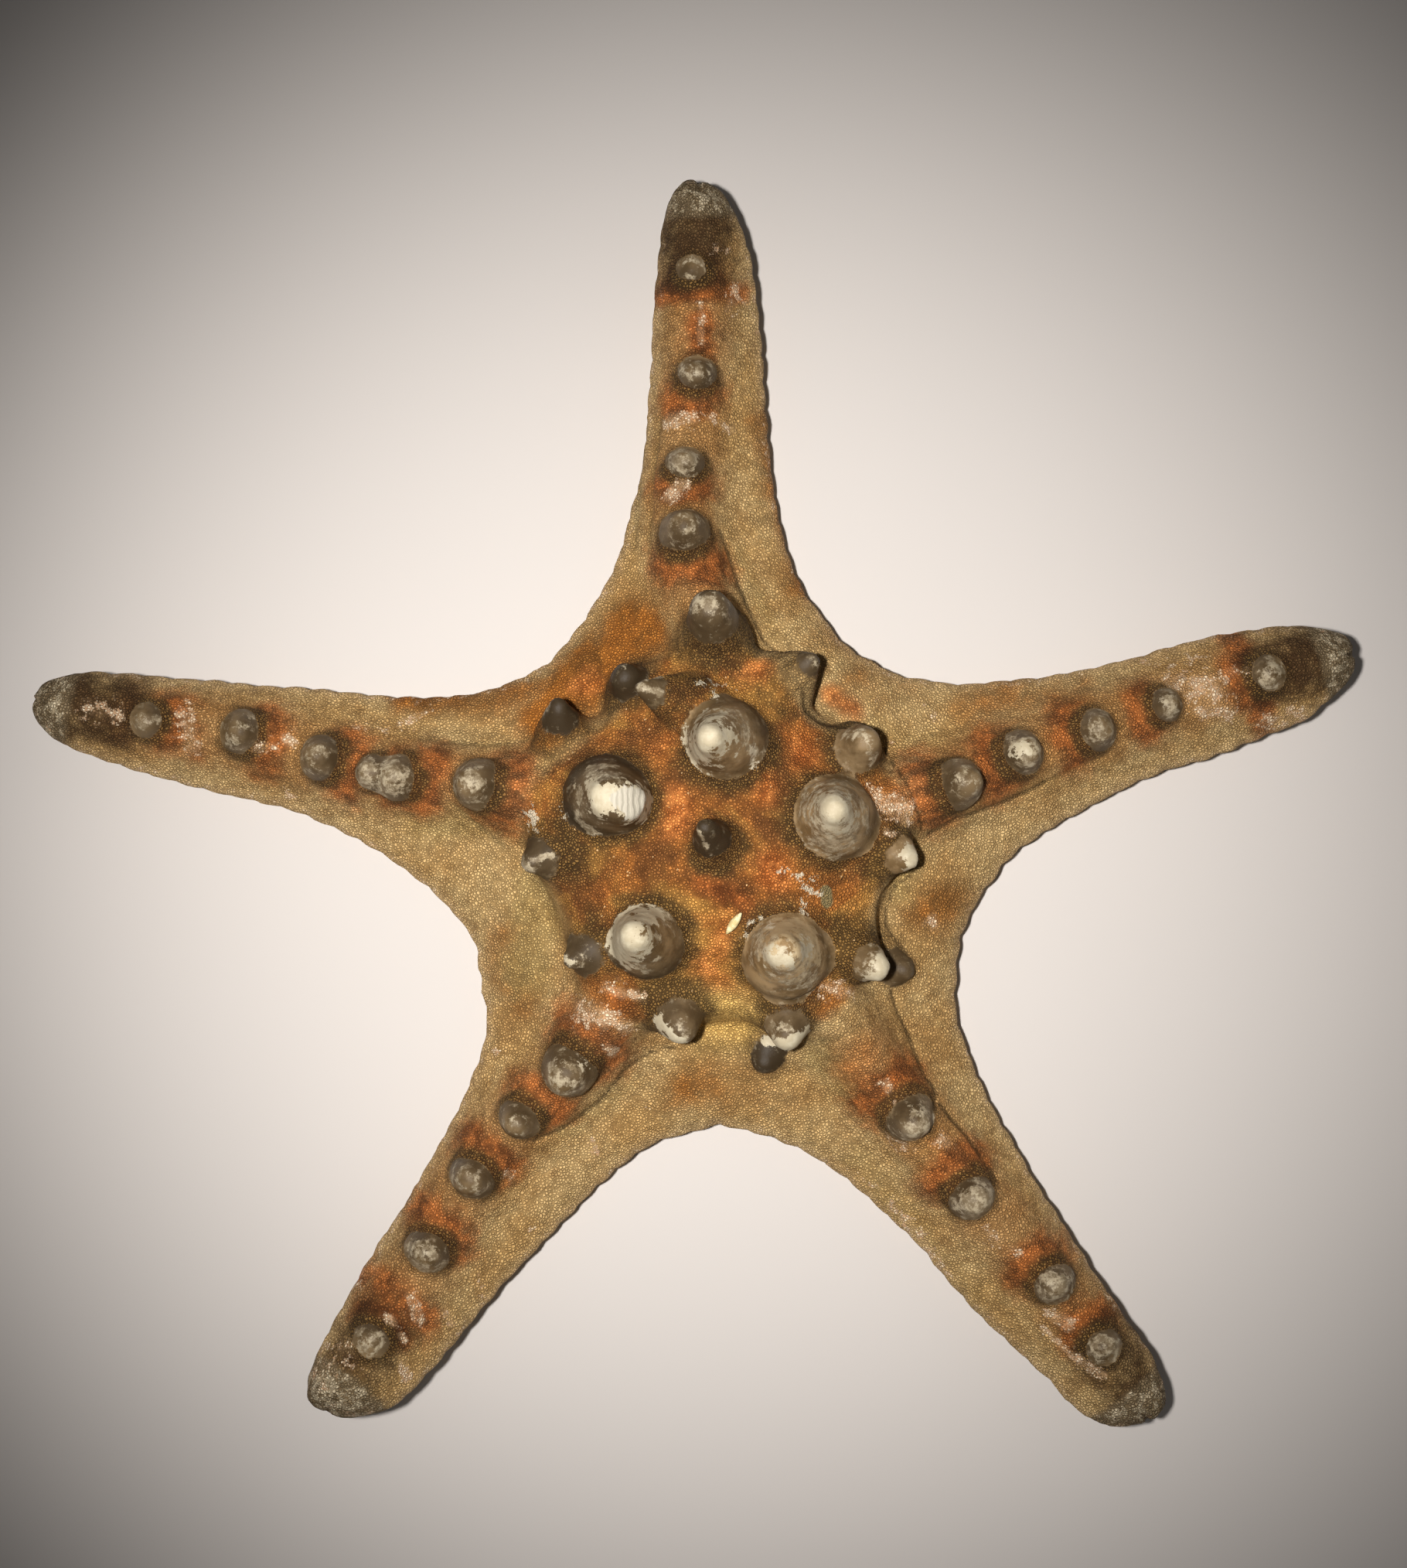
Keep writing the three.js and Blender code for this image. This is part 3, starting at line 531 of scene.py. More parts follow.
def ridge(x, y):
    best = np.zeros(np.shape(x))
    for arm in ARMS:
        s, t = arm_place(arm, x, y)
        profile = bell(t - ridge_offset(arm, s), RIDGE_WIDTH, 3)
        height = smooth_step((s - RIDGE_START) / RIDGE_RUN) * curve_at(RIDGE_STATIONS, RIDGE_HEIGHTS, s)
        best = np.maximum(best, height * profile)
    return best


def top_height(x, y, distance):
    r = np.hypot(x, y)
    low = SKIRT_HEIGHT + SKIRT_RISE * smooth_step((SKIRT_RISE_START - r) / SKIRT_RISE_RUN) + ridge(x, y)
    full = smooth_max(low, plateau(x, y), BLEND)
    return EDGE_HEIGHT + (full - EDGE_HEIGHT) * rounded_shoulder(distance, SHOULDER)


def groove_offset(arm, s):
    return arm_middle(arm, s) * smooth_step((s - arm["left_start"]) / RIDGE_RUN)


def bottom_height(x, y, distance):
    r = np.hypot(x, y)
    groove = MOUTH_DEPTH * bell(r, MOUTH_RADIUS, 4)
    for arm in ARMS:
        s, t = arm_place(arm, x, y)
        depth = GROOVE_DEPTH * smooth_step((arm["length"] - GROOVE_END - s) / GROOVE_RUN) * (s > 0)
        groove = np.maximum(groove, depth * bell(t - groove_offset(arm, s), GROOVE_WIDTH, 4))
    rise = EDGE_HEIGHT * (1 - rounded_shoulder(distance, UNDER_SHOULDER))
    return np.where(distance < 0.01, EDGE_HEIGHT, rise + groove)


def body_surface(arm, columns, flip):
    """One arm's side of the body, from the middle of the disc to the tip of the arm."""
    rim_rows = np.linspace(0.04, 1, RIM_ROWS)
    edge = row_point(arm, 0.0, columns, not flip)
    plan = [np.zeros((1, len(columns), 2))]
    plan.append(rim_rows[:-1, None, None] * edge[None])
    q = 1 - (1 - np.linspace(0, 1, ARM_ROWS)) ** 1.15
    rows, cols = np.meshgrid(q, columns, indexing="ij")
    plan.append(row_point(arm, rows, cols, not flip))
    plan = np.concatenate(plan)
    distance = margin_distance(plan[..., 0], plan[..., 1])
    distance[RIM_ROWS:, 0] = 0
    distance[RIM_ROWS:, -1] = 0
    distance[-1] = 0
    height = (bottom_height if flip else top_height)(plan[..., 0], plan[..., 1], distance)
    points = np.concatenate([plan, height[..., None]], axis=-1).reshape(-1, 3)
    count = len(columns)
    i, j = np.meshgrid(np.arange(len(plan) - 1), np.arange(count - 1), indexing="ij")
    a = (i * count + j).ravel()
    quads = np.stack([a, a + count, a + count + 1, a + 1], axis=1)
    return points, quads[:, ::-1] if flip else quads


def body_mesh():
    spread = np.linspace(-1, 1, COLUMNS)
    columns = np.sin(spread * math.pi / 2) * 0.35 + spread * 0.65
    points = []
    quads = []
    count = 0
    for arm in ARMS:
        for flip in (False, True):
            p, q = body_surface(arm, columns, flip)
            points.append(p)
            quads.append(q + count)
            count += len(p)
    return np.concatenate(points), np.concatenate(quads)


class Knob:
    """A cone with a round foot and a round end, and what its surface has been through."""

    def __init__(self, foot, tip, radius, end, dark, bare_from=-1.0, halo=1.0, film=0.0):
        self.foot = np.array(foot, float)
        self.tip = np.array(tip, float)
        self.radius = radius
        self.end = end
        self.dark = dark
        self.bare_from = bare_from
        self.halo = halo
        self.film = film
        self.blend = BLEND
        self.sunk = 0.0
        self.axis = self.tip - self.foot
        self.height = float(np.linalg.norm(self.axis))
        self.axis /= self.height
        self.length = max(self.height - end, 0.1)

    def distance(self, p):
        """Signed distance to the rounded cone."""
        rel = p - self.foot
        y = rel @ self.axis
        x = np.sqrt(np.maximum((rel ** 2).sum(axis=-1) - y * y, 0))
        b = (self.radius - self.end) / self.length
        a = math.sqrt(max(1 - b * b, 1e-6))
        k = x * -b + y * a
        near_foot = np.sqrt(x * x + y * y) - self.radius
        near_end = np.sqrt(x * x + (y - self.length) ** 2) - self.end
        flank = x * a + y * b - self.radius
        return np.where(k < 0, near_foot, np.where(k > a * self.length, near_end, flank))

    def along(self, p):
        return ((p - self.foot) @ self.axis) / self.height


def make_knobs():
    knobs = [Knob(*row) for row in DISC_KNOBS]
    for knob in knobs[:BROKEN_SHELF]:
        knob.blend = RIM_BLEND if knob in knobs[FIRST_RIM_KNOB:] else PRIMARY_BLEND
    knobs[CENTRE_CONE].blend = BLEND
    for arm, rows in zip(ARMS, ARM_KNOBS):
        for s, t, radius, height, lean, film in rows:
            x, y = arm_point(arm, s, t)
            edge = margin_distance(np.array([x]), np.array([y]))[0]
            base = float(top_height(x, y, edge)) - ARM_KNOB_SET
            tip = (x + arm["along"][0] * lean, y + arm["along"][1] * lean, base + height + ARM_KNOB_SET)
            knob = Knob((x, y, base), tip, radius * ARM_KNOB_FOOT, radius * ARM_KNOB_END, ARM_KNOB_DARK,
                        film=film)
            knob.sunk = ARM_KNOB_SINK * height
            knobs.append(knob)
    return knobs


KNOBS = make_knobs()


def broken_end(p):
    """Height of points over the broken end of the left primary knob."""
    return p[..., 2] - BROKEN_HEIGHT + BROKEN_SLOPE * np.maximum(p[..., 0] - BROKEN_FROM, 0)


def skin_mesh():
    """The body and all its knobs as one smooth closed surface."""
    points, quads = body_mesh()
    transform = vdb.createLinearTransform(voxelSize=VOXEL)
    grid = vdb.FloatGrid.createLevelSetFromPolygons(
        points.astype(np.float32), quads=quads.astype(np.uint32), transform=transform, halfWidth=BAND)
    low = np.floor(points.min(axis=0) / VOXEL).astype(int) - GRID_MARGIN
    high = np.ceil((points.max(axis=0) + [0, 0, ROOM_FOR_KNOBS]) / VOXEL).astype(int) + GRID_MARGIN
    field = np.empty(tuple(high - low), np.float32)
    grid.copyToArray(field, ijk=tuple(int(v) for v in low))
    for knob in KNOBS:
        reach = knob.radius + 4
        box_low = np.minimum(knob.foot, knob.tip) - reach
        box_high = np.maximum(knob.foot, knob.tip) + reach
        i0 = np.maximum(np.floor(box_low / VOXEL).astype(int) - low, 0)
        i1 = np.minimum(np.ceil(box_high / VOXEL).astype(int) - low, field.shape)
        axes = [(np.arange(i0[k], i1[k]) + low[k]) * VOXEL for k in range(3)]
        p = np.stack(np.meshgrid(*axes, indexing="ij"), axis=-1)
        d = knob.distance(p)
        if knob in (KNOBS[LEFT_PRIMARY], KNOBS[BROKEN_SHELF]):
            d = np.maximum(d, broken_end(p))
        block = field[i0[0]:i1[0], i0[1]:i1[1], i0[2]:i1[2]]
        block[:] = -smooth_max(-block, -d, knob.blend)
    limit = BAND * VOXEL
    np.clip(field, -limit, limit, out=field)
    joined = vdb.FloatGrid(limit)
    joined.copyFromArray(field, ijk=tuple(int(v) for v in low), tolerance=0.0)
    joined.transform = transform
    joined.gridClass = vdb.GridClass.LEVEL_SET
    surface_points, surface_quads = joined.convertToQuads(isovalue=0.0)
    return surface_points.astype(float), surface_quads[:, ::-1].astype(int)


def curl(points):
    """Each arm bends up towards its tip round its own radius."""
    out = points.copy()
    for arm in ARMS:
        s, t = arm_place(arm, points[:, 0], points[:, 1])
        mask = (s > CURL_START) & (np.abs(t) < ARM_REACH)
        turn = (s[mask] - CURL_START) / arm["curl"]
        lever = arm["curl"] - points[mask, 2]
        reach = CURL_START + lever * np.sin(turn)
        out[mask, :2] = arm_point(arm, reach, t[mask])
        out[mask, 2] = arm["curl"] - lever * np.cos(turn)
    return out


def smoothed(points, quads, rounds):
    """The same surface without the small steps of the grid that it was made on."""
    edges = np.concatenate([quads[:, [k, (k + 1) % 4]] for k in range(4)])
    count = np.bincount(edges[:, 0], minlength=len(points))[:, None]
    for weight in SMOOTHING_STEPS * rounds:
        around = np.zeros_like(points)
        for axis in range(3):
            around[:, axis] = np.bincount(edges[:, 0], points[edges[:, 1], axis], minlength=len(points))
        points = points + weight * (around / count - points)
    return points


def vertex_normals(points, quads):
    a, b, c, d = (points[quads[:, k]] for k in range(4))
    face = np.cross(c - a, d - b)
    normals = np.zeros_like(points)
    for k in range(4):
        np.add.at(normals, quads[:, k], face)
    return normals / np.maximum(np.linalg.norm(normals, axis=1, keepdims=True), 1e-12)


def raise_to(masks, name, values, where=slice(None)):
    """Raises a mask to the new values where they are higher."""
    masks[name][where] = np.maximum(masks[name][where], values)


def arm_masks(x, y):
    """Rust on the inner side of each arm's knobs, the tips with their slits painted in shade, and the
    grooves underneath.
    """
    masks = {name: np.zeros(len(x)) for name in ("ridge", "rust", "tip", "crust", "shaded_slit", "groove")}
    for arm, rows, brownness in zip(ARMS, ARM_KNOBS, TIP_BROWN):
        s, t = arm_place(arm, x, y)
        inside = (np.abs(t) < ARM_REACH) & (s > 0)
        off = np.abs(t - ridge_offset(arm, s))
        far = s - arm["length"]
        for place, offset, radius, *_ in rows:
            along = bell(s - place + radius * 1.1, radius * 1.5)
            raise_to(masks, "rust", along * bell(off, radius * 2.1, 3) * inside)
        crown = bell(off, RIDGE_BAND, 3) * smooth_step((s - RIDGE_TINT_START) / 8)
        raise_to(masks, "ridge", crown * smooth_step((-8 - far) / 6) * inside)
        brown = smooth_step((far + TIP_BROWN_LENGTH) / 4) * bell(off, RIDGE_BAND, 4)
        raise_to(masks, "tip", brown * brownness * inside)
        raise_to(masks, "crust", smooth_step((far + CRUST_LENGTH) / 4) * inside)
        # The slit at each tip is carved and painted dark as painted shade
        shaded_slit = bell(t - arm_middle(arm, arm["length"] - 4), SLIT_WIDTH)
        raise_to(masks, "shaded_slit", shaded_slit * smooth_step((far + SLIT_LENGTH) / 1.2) * inside)
        raise_to(masks, "groove", bell(t - groove_offset(arm, s), GROOVE_LIP, 4) * inside)
    return masks


def knob_masks(p, above):
    """The horn of the knobs, how dark it is (with painted shade low on the disc knobs), its grey film, and
    the dark halo of the skin round it.
    """
    masks = {name: np.zeros(len(p)) for name in ("horn", "dark", "film", "halo")}
    for knob in KNOBS:
        on_arm = knob.film > 0
        near = np.linalg.norm(p - knob.foot, axis=1) < knob.height + knob.radius + 9
        q = p[near]
        d = knob.distance(q)
        clear = above[near]
        outward = knob.tip[:2] / max(np.linalg.norm(knob.tip[:2]), 1)
        inward = smooth_step(0.65 - ((q[:, :2] - knob.foot[:2]) @ outward) / (knob.radius * 2.2))
        # Horn shows on the cone itself, clear of the skin round it, from bare_from up
        on = smooth_step((1.2 - d) / 0.8)
        on = on * smooth_step((clear - 0.25 - knob.sunk * inward) / (0.8 if on_arm else 1.6))
        on = on * smooth_step((knob.along(q) - knob.bare_from) / 0.3)
        raise_to(masks, "horn", on, near)
        # Arm knobs are darker on their inner side; disc knobs are darker low down, which is painted shade as
        # well as a darker brown at the foot
        inner_tone_and_low_shade = 0.45 * inward if on_arm else 0.5 * smooth_step(0.85 - 1.9 * knob.along(q))
        raise_to(masks, "dark", smooth_step(on * 2.5) * (knob.dark + inner_tone_and_low_shade), near)
        # Scuffs lie round a point a little outside the tip
        centre = knob.tip[:2] + outward * knob.radius * 0.15
        off = np.linalg.norm(q[:, :2] - centre, axis=1) / knob.radius
        raise_to(masks, "film", on * knob.film * smooth_step((1.3 - off) / 0.9), near)
        # The dark halo is strongest on the skin that climbs the knob and on its inner side
        reach = knob.radius * (0.5 if on_arm else 0.55)
        halo = bell(np.maximum(d, 0), reach, 1.5) * (0.45 + 0.55 * inward)
        flank = smooth_step((0.9 - d) / 0.9) * smooth_step((clear - 0.3) / 1.5) * (0.5 if on_arm else 1)
        raise_to(masks, "halo", knob.halo * np.maximum(halo, flank), near)
    return masks


# The masks that end at the margin, where the underside starts
ON_TOP = ("plateau", "ridge", "rust", "halo", "tan", "rim", "warm", "olive", "glow", "white", "pale", "grit",
          "crease_dirt_and_shade", "faint_tint_and_shade", "madreporite", "shaded_slit")


def skin_masks(p, normals, distance):
    """What each point of the skin is part of: numbers from 0 to 1 that the material mixes by."""
    x, y, z = p.T
    placed = {name: spots(x, y, rows) for name, rows in PLACES.items()}
    masks = {**placed, **arm_masks(x, y), **knob_masks(p, z - top_height(x, y, distance))}
    on_horn = smooth_step(masks["horn"] * 3)
    inside_rim = smooth_step((rim_at(x, y)[0] + 0.5 - np.hypot(x, y)) / 5)
    masks["plateau"] = inside_rim * (1 - 0.8 * placed["tan"])
    masks["olive"] = placed["olive"] * (1 - 0.7 * masks["plateau"])
    masks["rust"] = np.maximum(masks["rust"], placed["rust"])
    masks["film"] = np.maximum(masks["film"], placed["film"] * on_horn)
    masks["white"] = placed["white"] * on_horn
    masks["cream"] = placed["cream"] * masks["horn"]
    masks["fibre"] = placed["fibre"] * smooth_step((z - BROKEN_FACE_BOTTOM) / 1.5)
    # The pale rim band: a really pale edge, and painted light that lifts the shaded shoulder of the margin
    masks["rim"] = bell(distance, RIM_WIDTH)
    rim_wear = 0.35 * bell(distance, RIM_WEAR_WIDTH)
    masks["pale"] = np.maximum(placed["pale"], rim_wear) * (1 - masks["horn"])
    # Crease lines: dirt in the creases together with painted shadow along the steep edges
    masks["crease_dirt_and_shade"] = lines(x, y, CREASES, CREASE_WIDTH)
    # Faint lines: an olive tint, partly painted shadow
    masks["faint_tint_and_shade"] = lines(x, y, FAINT_LINES, CREASE_WIDTH)
    upper = smooth_step((z - EDGE_HEIGHT + 1.5) / 2)
    for name in ON_TOP:
        masks[name] = masks[name] * upper
    masks["under"] = smooth_step((EDGE_HEIGHT - 0.8 - z) / 1.5) * smooth_step(-normals[:, 2] * 2)
    masks["groove"] = masks["groove"] * (z < EDGE_HEIGHT)
    return masks


# Relief in millimetres: kind and size of the lumps, the level they stand out from, height, what carries them
LUMPS = [
    (rough, 6.0, 0.5, 0.7, "skin"), (lumps, 1.3, 0.5, 0.14, "skin"), (rough, 2.4, 0.5, 0.5, "horn"),
    (lumps, 1.5, 0.5, 0.35, "crust"), (lumps, 1.2, 0.35, 0.5, "wear"),
]


def relief(p, masks, distance, along):
    """How far each point of the skin stands out: scallops, creases, lumps, crusts and worn facets."""
    drift = 1.6 * lumps(p, 9.0)
    scallop = np.abs(np.sin(math.pi * (along + drift) / SCALLOP_PITCH)) ** 0.7 - 0.72
    out = SCALLOP_DEPTH * scallop * (bell(distance, 2.2) + 0.25 * bell(distance, 6))
    out = out * (1 - masks["crust"]) * (0.5 + lumps(p, 14.0))
    carriers = dict(masks, skin=1 - masks["horn"], wear=np.maximum(masks["grit"], masks["pale"] * 0.4))
    for pattern, size, level, height, carrier in LUMPS:
        out = out + (pattern(p, size) - level) * height * carriers[carrier]
    return out - CREASE_DEPTH * masks["crease_dirt_and_shade"] - FAINT_DEPTH * masks["faint_tint_and_shade"] - SLIT_DEPTH * masks["shaded_slit"]


def finished_skin():
    """The skin in its place on the floor: its points, its faces and the masks of its material."""
    points, quads = skin_mesh()
    points = smoothed(points, quads, SMOOTHING_ROUNDS)
    normals = vertex_normals(points, quads)
    distance, along = margin_place(points[:, 0], points[:, 1])
    masks = skin_masks(points, normals, distance)
    points = points + normals * relief(points, masks, distance, along)[:, None]
    points[:, 2] = np.maximum(points[:, 2], 0)
    return curl(points) + PLACE, quads.tolist(), masks


def link(thing):
    bpy.context.scene.collection.objects.link(thing)


def new_mesh_object(name, points, faces, material):
    """An object with points in millimetres and one material."""
    mesh = bpy.data.meshes.new(name)
    mesh.from_pydata((points * MM).tolist(), [], faces)
    mesh.validate()
    mesh.polygons.foreach_set("use_smooth", np.ones(len(mesh.polygons), bool))
    mesh.materials.append(material)
    piece = bpy.data.objects.new(name, mesh)
    link(piece)
    return piece


def linear(r, g, b):
    """A colour given as 0 to 255 display values, for a shader socket."""
    def one(v):
        v /= 255
        return v / 12.92 if v <= 0.04045 else ((v + 0.055) / 1.055) ** 2.4
    return (one(r), one(g), one(b), 1.0)


GRANULES = 2550
FIBRE_TURNS = 2 * math.pi / (FIBRE_PITCH * MM)
SEEN_GAIN = 1.36
HORN_GAIN = 1.3
# Depth of the fine relief in metres, and gloss
GRANULE_RELIEF = 0.00028
SCRATCH_RELIEF = 0.0002
SPINE_RELIEF = 0.0001
SKIN_ROUGHNESS = 0.85
HORN_ROUGHNESS = 0.48
SKIN_SPECULAR = 0.2
# Where a spread mask counts as present, and the part of a noise that flecks are made from
PRESENT = (0.02, 0.2)
CRISP = (0.36, 0.64)
# Places of the colour sockets on Blender's Mix node
MIX_INPUTS = (0, 6, 7)
MIX_RESULT = 2


def seen(r, g, b):
    """The colour of a material that shows as r, g, b on grainy skin in this light."""
    return tuple(min(v * SEEN_GAIN, 0.95) for v in linear(r, g, b)[:3]) + (1.0,)


def horn_tone(r, g, b):
    """The same for the smooth horn, which slopes away from the light."""
    return tuple(v * HORN_GAIN for v in linear(r, g, b)[:3]) + (1.0,)


class Nodes:
    """Short ways to add shader nodes to one material.

    Where noise is one argument, it holds scale, detail, roughness and distortion.
    """

    def __init__(self, name):
        self.material = bpy.data.materials.new(name)
        self.material.use_nodes = True
        self.tree = self.material.node_tree
        self.tree.nodes.clear()
        self.coords = self.add("ShaderNodeTexCoord").outputs["Object"]

    def set(self, socket, value):
        if isinstance(value, bpy.types.NodeSocket):
            self.tree.links.new(value, socket)
        else:
            socket.default_value = value

    def add(self, kind, **inputs):
        """A new node with its inputs set, where an underscore stands for a space in an input's name."""
        node = self.tree.nodes.new(kind)
        for name, value in inputs.items():
            self.set(node.inputs[name.replace("_", " ")], value)
        return node

    def attribute(self, name):
        node = self.add("ShaderNodeAttribute")
        node.attribute_name = name
        return node.outputs["Fac"]

    def noise(self, scale, detail, roughness, distortion=0.0):
        node = self.add("ShaderNodeTexNoise", Vector=self.coords, Scale=scale, Detail=detail,
                        Roughness=roughness, Distortion=distortion)
        return node.outputs["Fac"]

    def cells(self, scale, output="Distance", feature="F1"):
        node = self.add("ShaderNodeTexVoronoi", Vector=self.coords, Scale=scale)
        node.feature = feature
        return node.outputs[output]

    def math(self, operation, a, b=0.0, third=0.0, clamp=False):
        node = self.add("ShaderNodeMath")
        node.operation = operation
        node.use_clamp = clamp
        for socket, value in zip(node.inputs, (a, b, third)):
            self.set(socket, value)
        return node.outputs[0]

    def times(self, a, b):
        return self.math("MULTIPLY", a, b)

    def ramp(self, value, low, high, out_low=0.0, out_high=1.0):
        node = self.add("ShaderNodeMapRange", Value=value, From_Min=low, From_Max=high, To_Min=out_low,
                        To_Max=out_high)
        node.interpolation_type = "SMOOTHSTEP"
        return node.outputs["Result"]

    def mix(self, factor, a, b, blend="MIX"):
        node = self.add("ShaderNodeMix")
        node.data_type = "RGBA"
        node.blend_type = blend
        for place, value in zip(MIX_INPUTS, (factor, a, b)):
            self.set(node.inputs[place], value)
        return node.outputs[MIX_RESULT]

    def two_tone(self, noise, low, high, a, b, most=1.0):
        """Tone b in clouds over tone a: they start where the noise is low and are full where it is high."""
        return self.mix(self.ramp(self.noise(*noise), low, high, 0.0, most), a, b)

    def over(self, colour, mask, strength, tone):
        """A tone laid over a colour as strongly as a mask says."""
        return self.mix(self.times(mask, strength), colour, tone)

    def spread(self, name, noise, reach, low, high):
        """A mask of the mesh whose soft edge is broken up by noise."""
        mask = self.attribute(name)
        broken = self.times(self.math("SUBTRACT", self.noise(*noise), 0.5), reach)
        present = self.ramp(mask, *PRESENT)
        return self.times(self.ramp(self.math("ADD", mask, broken), low, high), present)

    def flecks(self, name, noise, reach, low, high):
        """A mask of the mesh broken up into crisp flecks by noise."""
        pattern = self.ramp(self.noise(*noise), *CRISP)
        return self.ramp(self.math("MULTIPLY_ADD", pattern, reach, third=self.attribute(name)), low, high)

    def bump(self, height, strength, distance, normal=None):
        node = self.add("ShaderNodeBump", Height=height, Strength=strength, Distance=distance)
        if normal is not None:
            self.set(node.inputs["Normal"], normal)
        return node.outputs["Normal"]

    def finish(self, colour, roughness, normal=None, specular=0.5):
        """Closes the material with its surface shader."""
        shader = self.add("ShaderNodeBsdfPrincipled", Base_Color=colour, Roughness=roughness,
                          Specular_IOR_Level=specular)
        if normal is not None:
            self.set(shader.inputs["Normal"], normal)
        self.add("ShaderNodeOutputMaterial", Surface=shader.outputs[0])
        return self.material


def skin_zones(n):
    """The colour of the skin without its granules: tan skirt, pale rim that is partly painted light, and
    zones laid over them.
    """
    colour = n.two_tone((90, 4, 0.6), 0.40, 0.62, seen(176, 151, 108), seen(168, 137, 90))
    colour = n.two_tone((130, 5, 0.7, 0.4), 0.48, 0.64, colour, seen(150, 118, 75), 0.6)
    # The pale rim is partly painted light: it lifts the margin, whose rounded edge faces away from the light
    colour = n.over(colour, n.attribute("rim"), 0.55, seen(206, 180, 138))
    warm = n.two_tone((190, 4, 0.65, 0.5), 0.40, 0.60, seen(150, 96, 40), seen(120, 80, 36))
    ochre = n.two_tone((150, 4, 0.6), 0.42, 0.60, seen(104, 63, 28), seen(156, 98, 44))
    ochre = n.two_tone((75, 4, 0.6, 0.6), 0.48, 0.62, ochre, seen(174, 130, 66), 0.8)
    ember = n.two_tone((360, 4, 0.65), 0.42, 0.60, seen(150, 84, 37), seen(216, 137, 74))
    rust = n.two_tone((330, 4, 0.6), 0.42, 0.60, seen(104, 56, 24), seen(172, 100, 48))
    # From the lowest up: mask, noise and reach of its broken edge, start and end of the edge, strength, tone
    zones = [
        ("warm", (160, 4, 0.6), 0.8, 0.25, 0.85, 1.0, warm),
        ("olive", (240, 4, 0.6), 0.6, 0.3, 0.9, 0.5, seen(150, 132, 84)),
        ("plateau", (210, 4, 0.6), 0.7, 0.2, 0.9, 0.95, ochre),
        ("glow", (230, 4, 0.6), 0.7, 0.3, 1.0, 0.85, ember),
        ("tan", (260, 4, 0.6), 0.5, 0.2, 0.9, 1.0, seen(198, 164, 98)),
        ("ridge", (200, 4, 0.6), 0.9, 0.3, 1.0, 0.55, seen(150, 102, 54)),
        ("rust", (300, 4, 0.65), 0.8, 0.3, 0.9, 0.85, rust),
        ("tip", (260, 5, 0.7), 1.4, 0.2, 1.0, 0.92, seen(58, 38, 20)),
        ("crust", (420, 5, 0.7), 0.6, 0.3, 0.8, 0.9, seen(120, 106, 84)),
    ]
    for name, noise, reach, low, high, strength, tone in zones:
        colour = n.over(colour, n.spread(name, noise, reach, low, high), strength, tone)
    return n.over(colour, n.flecks("crust", (620, 5, 0.75), 1.0, 1.5, 1.7), 0.85, seen(176, 165, 144))


def granule_tops(n):
    """Pale tops and dark gaps of the granules, some granules paler than others."""
    top = n.ramp(n.cells(GRANULES, feature="DISTANCE_TO_EDGE"), 0.02, 0.26)
    return n.times(top, n.ramp(n.cells(GRANULES, "Color"), 0.15, 0.85, 0.74, 1.0))


def granular(n, colour, top):
    """A colour of the skin with its granules, dark halos round the knobs, wear, creases painted dark with
    dirt and painted shadow, tip slits painted with shade, faint lines and underside.
    """
    halo = n.spread("halo", (380, 4, 0.65), 0.9, 0.2, 0.85)
    colour = n.over(colour, halo, 0.9, n.mix(top, seen(48, 36, 18), seen(112, 86, 46)))
    patchy = n.two_tone((640, 3, 0.6), 0.36, 0.64, (0.80, 0.78, 0.74, 1), (1.14, 1.14, 1.13, 1))
    colour = n.mix(0.9, colour, patchy, "MULTIPLY")
    gaps = n.mix(top, (0.60, 0.54, 0.45, 1), (1.32, 1.29, 1.24, 1))
    colour = n.mix(n.math("MULTIPLY_ADD", halo, -0.6, third=0.9), colour, gaps, "MULTIPLY")
    speck = n.ramp(n.cells(560), 0.05, 0.09, 0.7, 0.0)
    colour = n.over(colour, speck, n.attribute("plateau"), seen(226, 180, 130))
    # Wear: a pale, slightly pink bloom with granular flecks in it
    colour = n.over(colour, n.spread("pale", (300, 4, 0.65), 1.6, 0.3, 1.0), 0.3, seen(200, 164, 124))
    worn = n.mix(top, seen(178, 140, 106), seen(228, 204, 178))
    colour = n.over(colour, n.flecks("pale", (700, 5, 0.75), 1.4, 1.4, 1.75), 0.8, worn)
    # Painted shade: dark lines along the creases (dirt and painted shadow) and in the slits at the arm tips
    dirt_and_shade_line = n.math("MAXIMUM", n.attribute("crease_dirt_and_shade"), n.times(n.attribute("shaded_slit"), 0.9))
    colour = n.mix(n.ramp(dirt_and_shade_line, 0.35, 0.95, 0.0, 0.7), colour, seen(56, 42, 22))
    # Faint lines: olive tint, partly painted shadow
    colour = n.over(colour, n.attribute("faint_tint_and_shade"), 0.35, seen(90, 78, 46))
    colour = n.mix(n.ramp(n.attribute("madreporite"), 0.35, 0.65, 0.0, 0.85), colour, seen(112, 104, 72))
    colour = n.over(colour, n.attribute("under"), 0.75, seen(188, 160, 116))
    return n.over(colour, n.attribute("groove"), 0.7, seen(104, 76, 44))


def fibre_pattern(n):
    """Wavy layers of the broken face, from 0 to 1."""
    across = n.add("ShaderNodeSeparateXYZ", Vector=n.coords).outputs["X"]
    wave = n.math("MULTIPLY_ADD", n.noise(420, 4, 0.6), 7.0, third=n.times(across, FIBRE_TURNS))
    return n.ramp(n.math("SINE", wave), -1.0, 0.6)


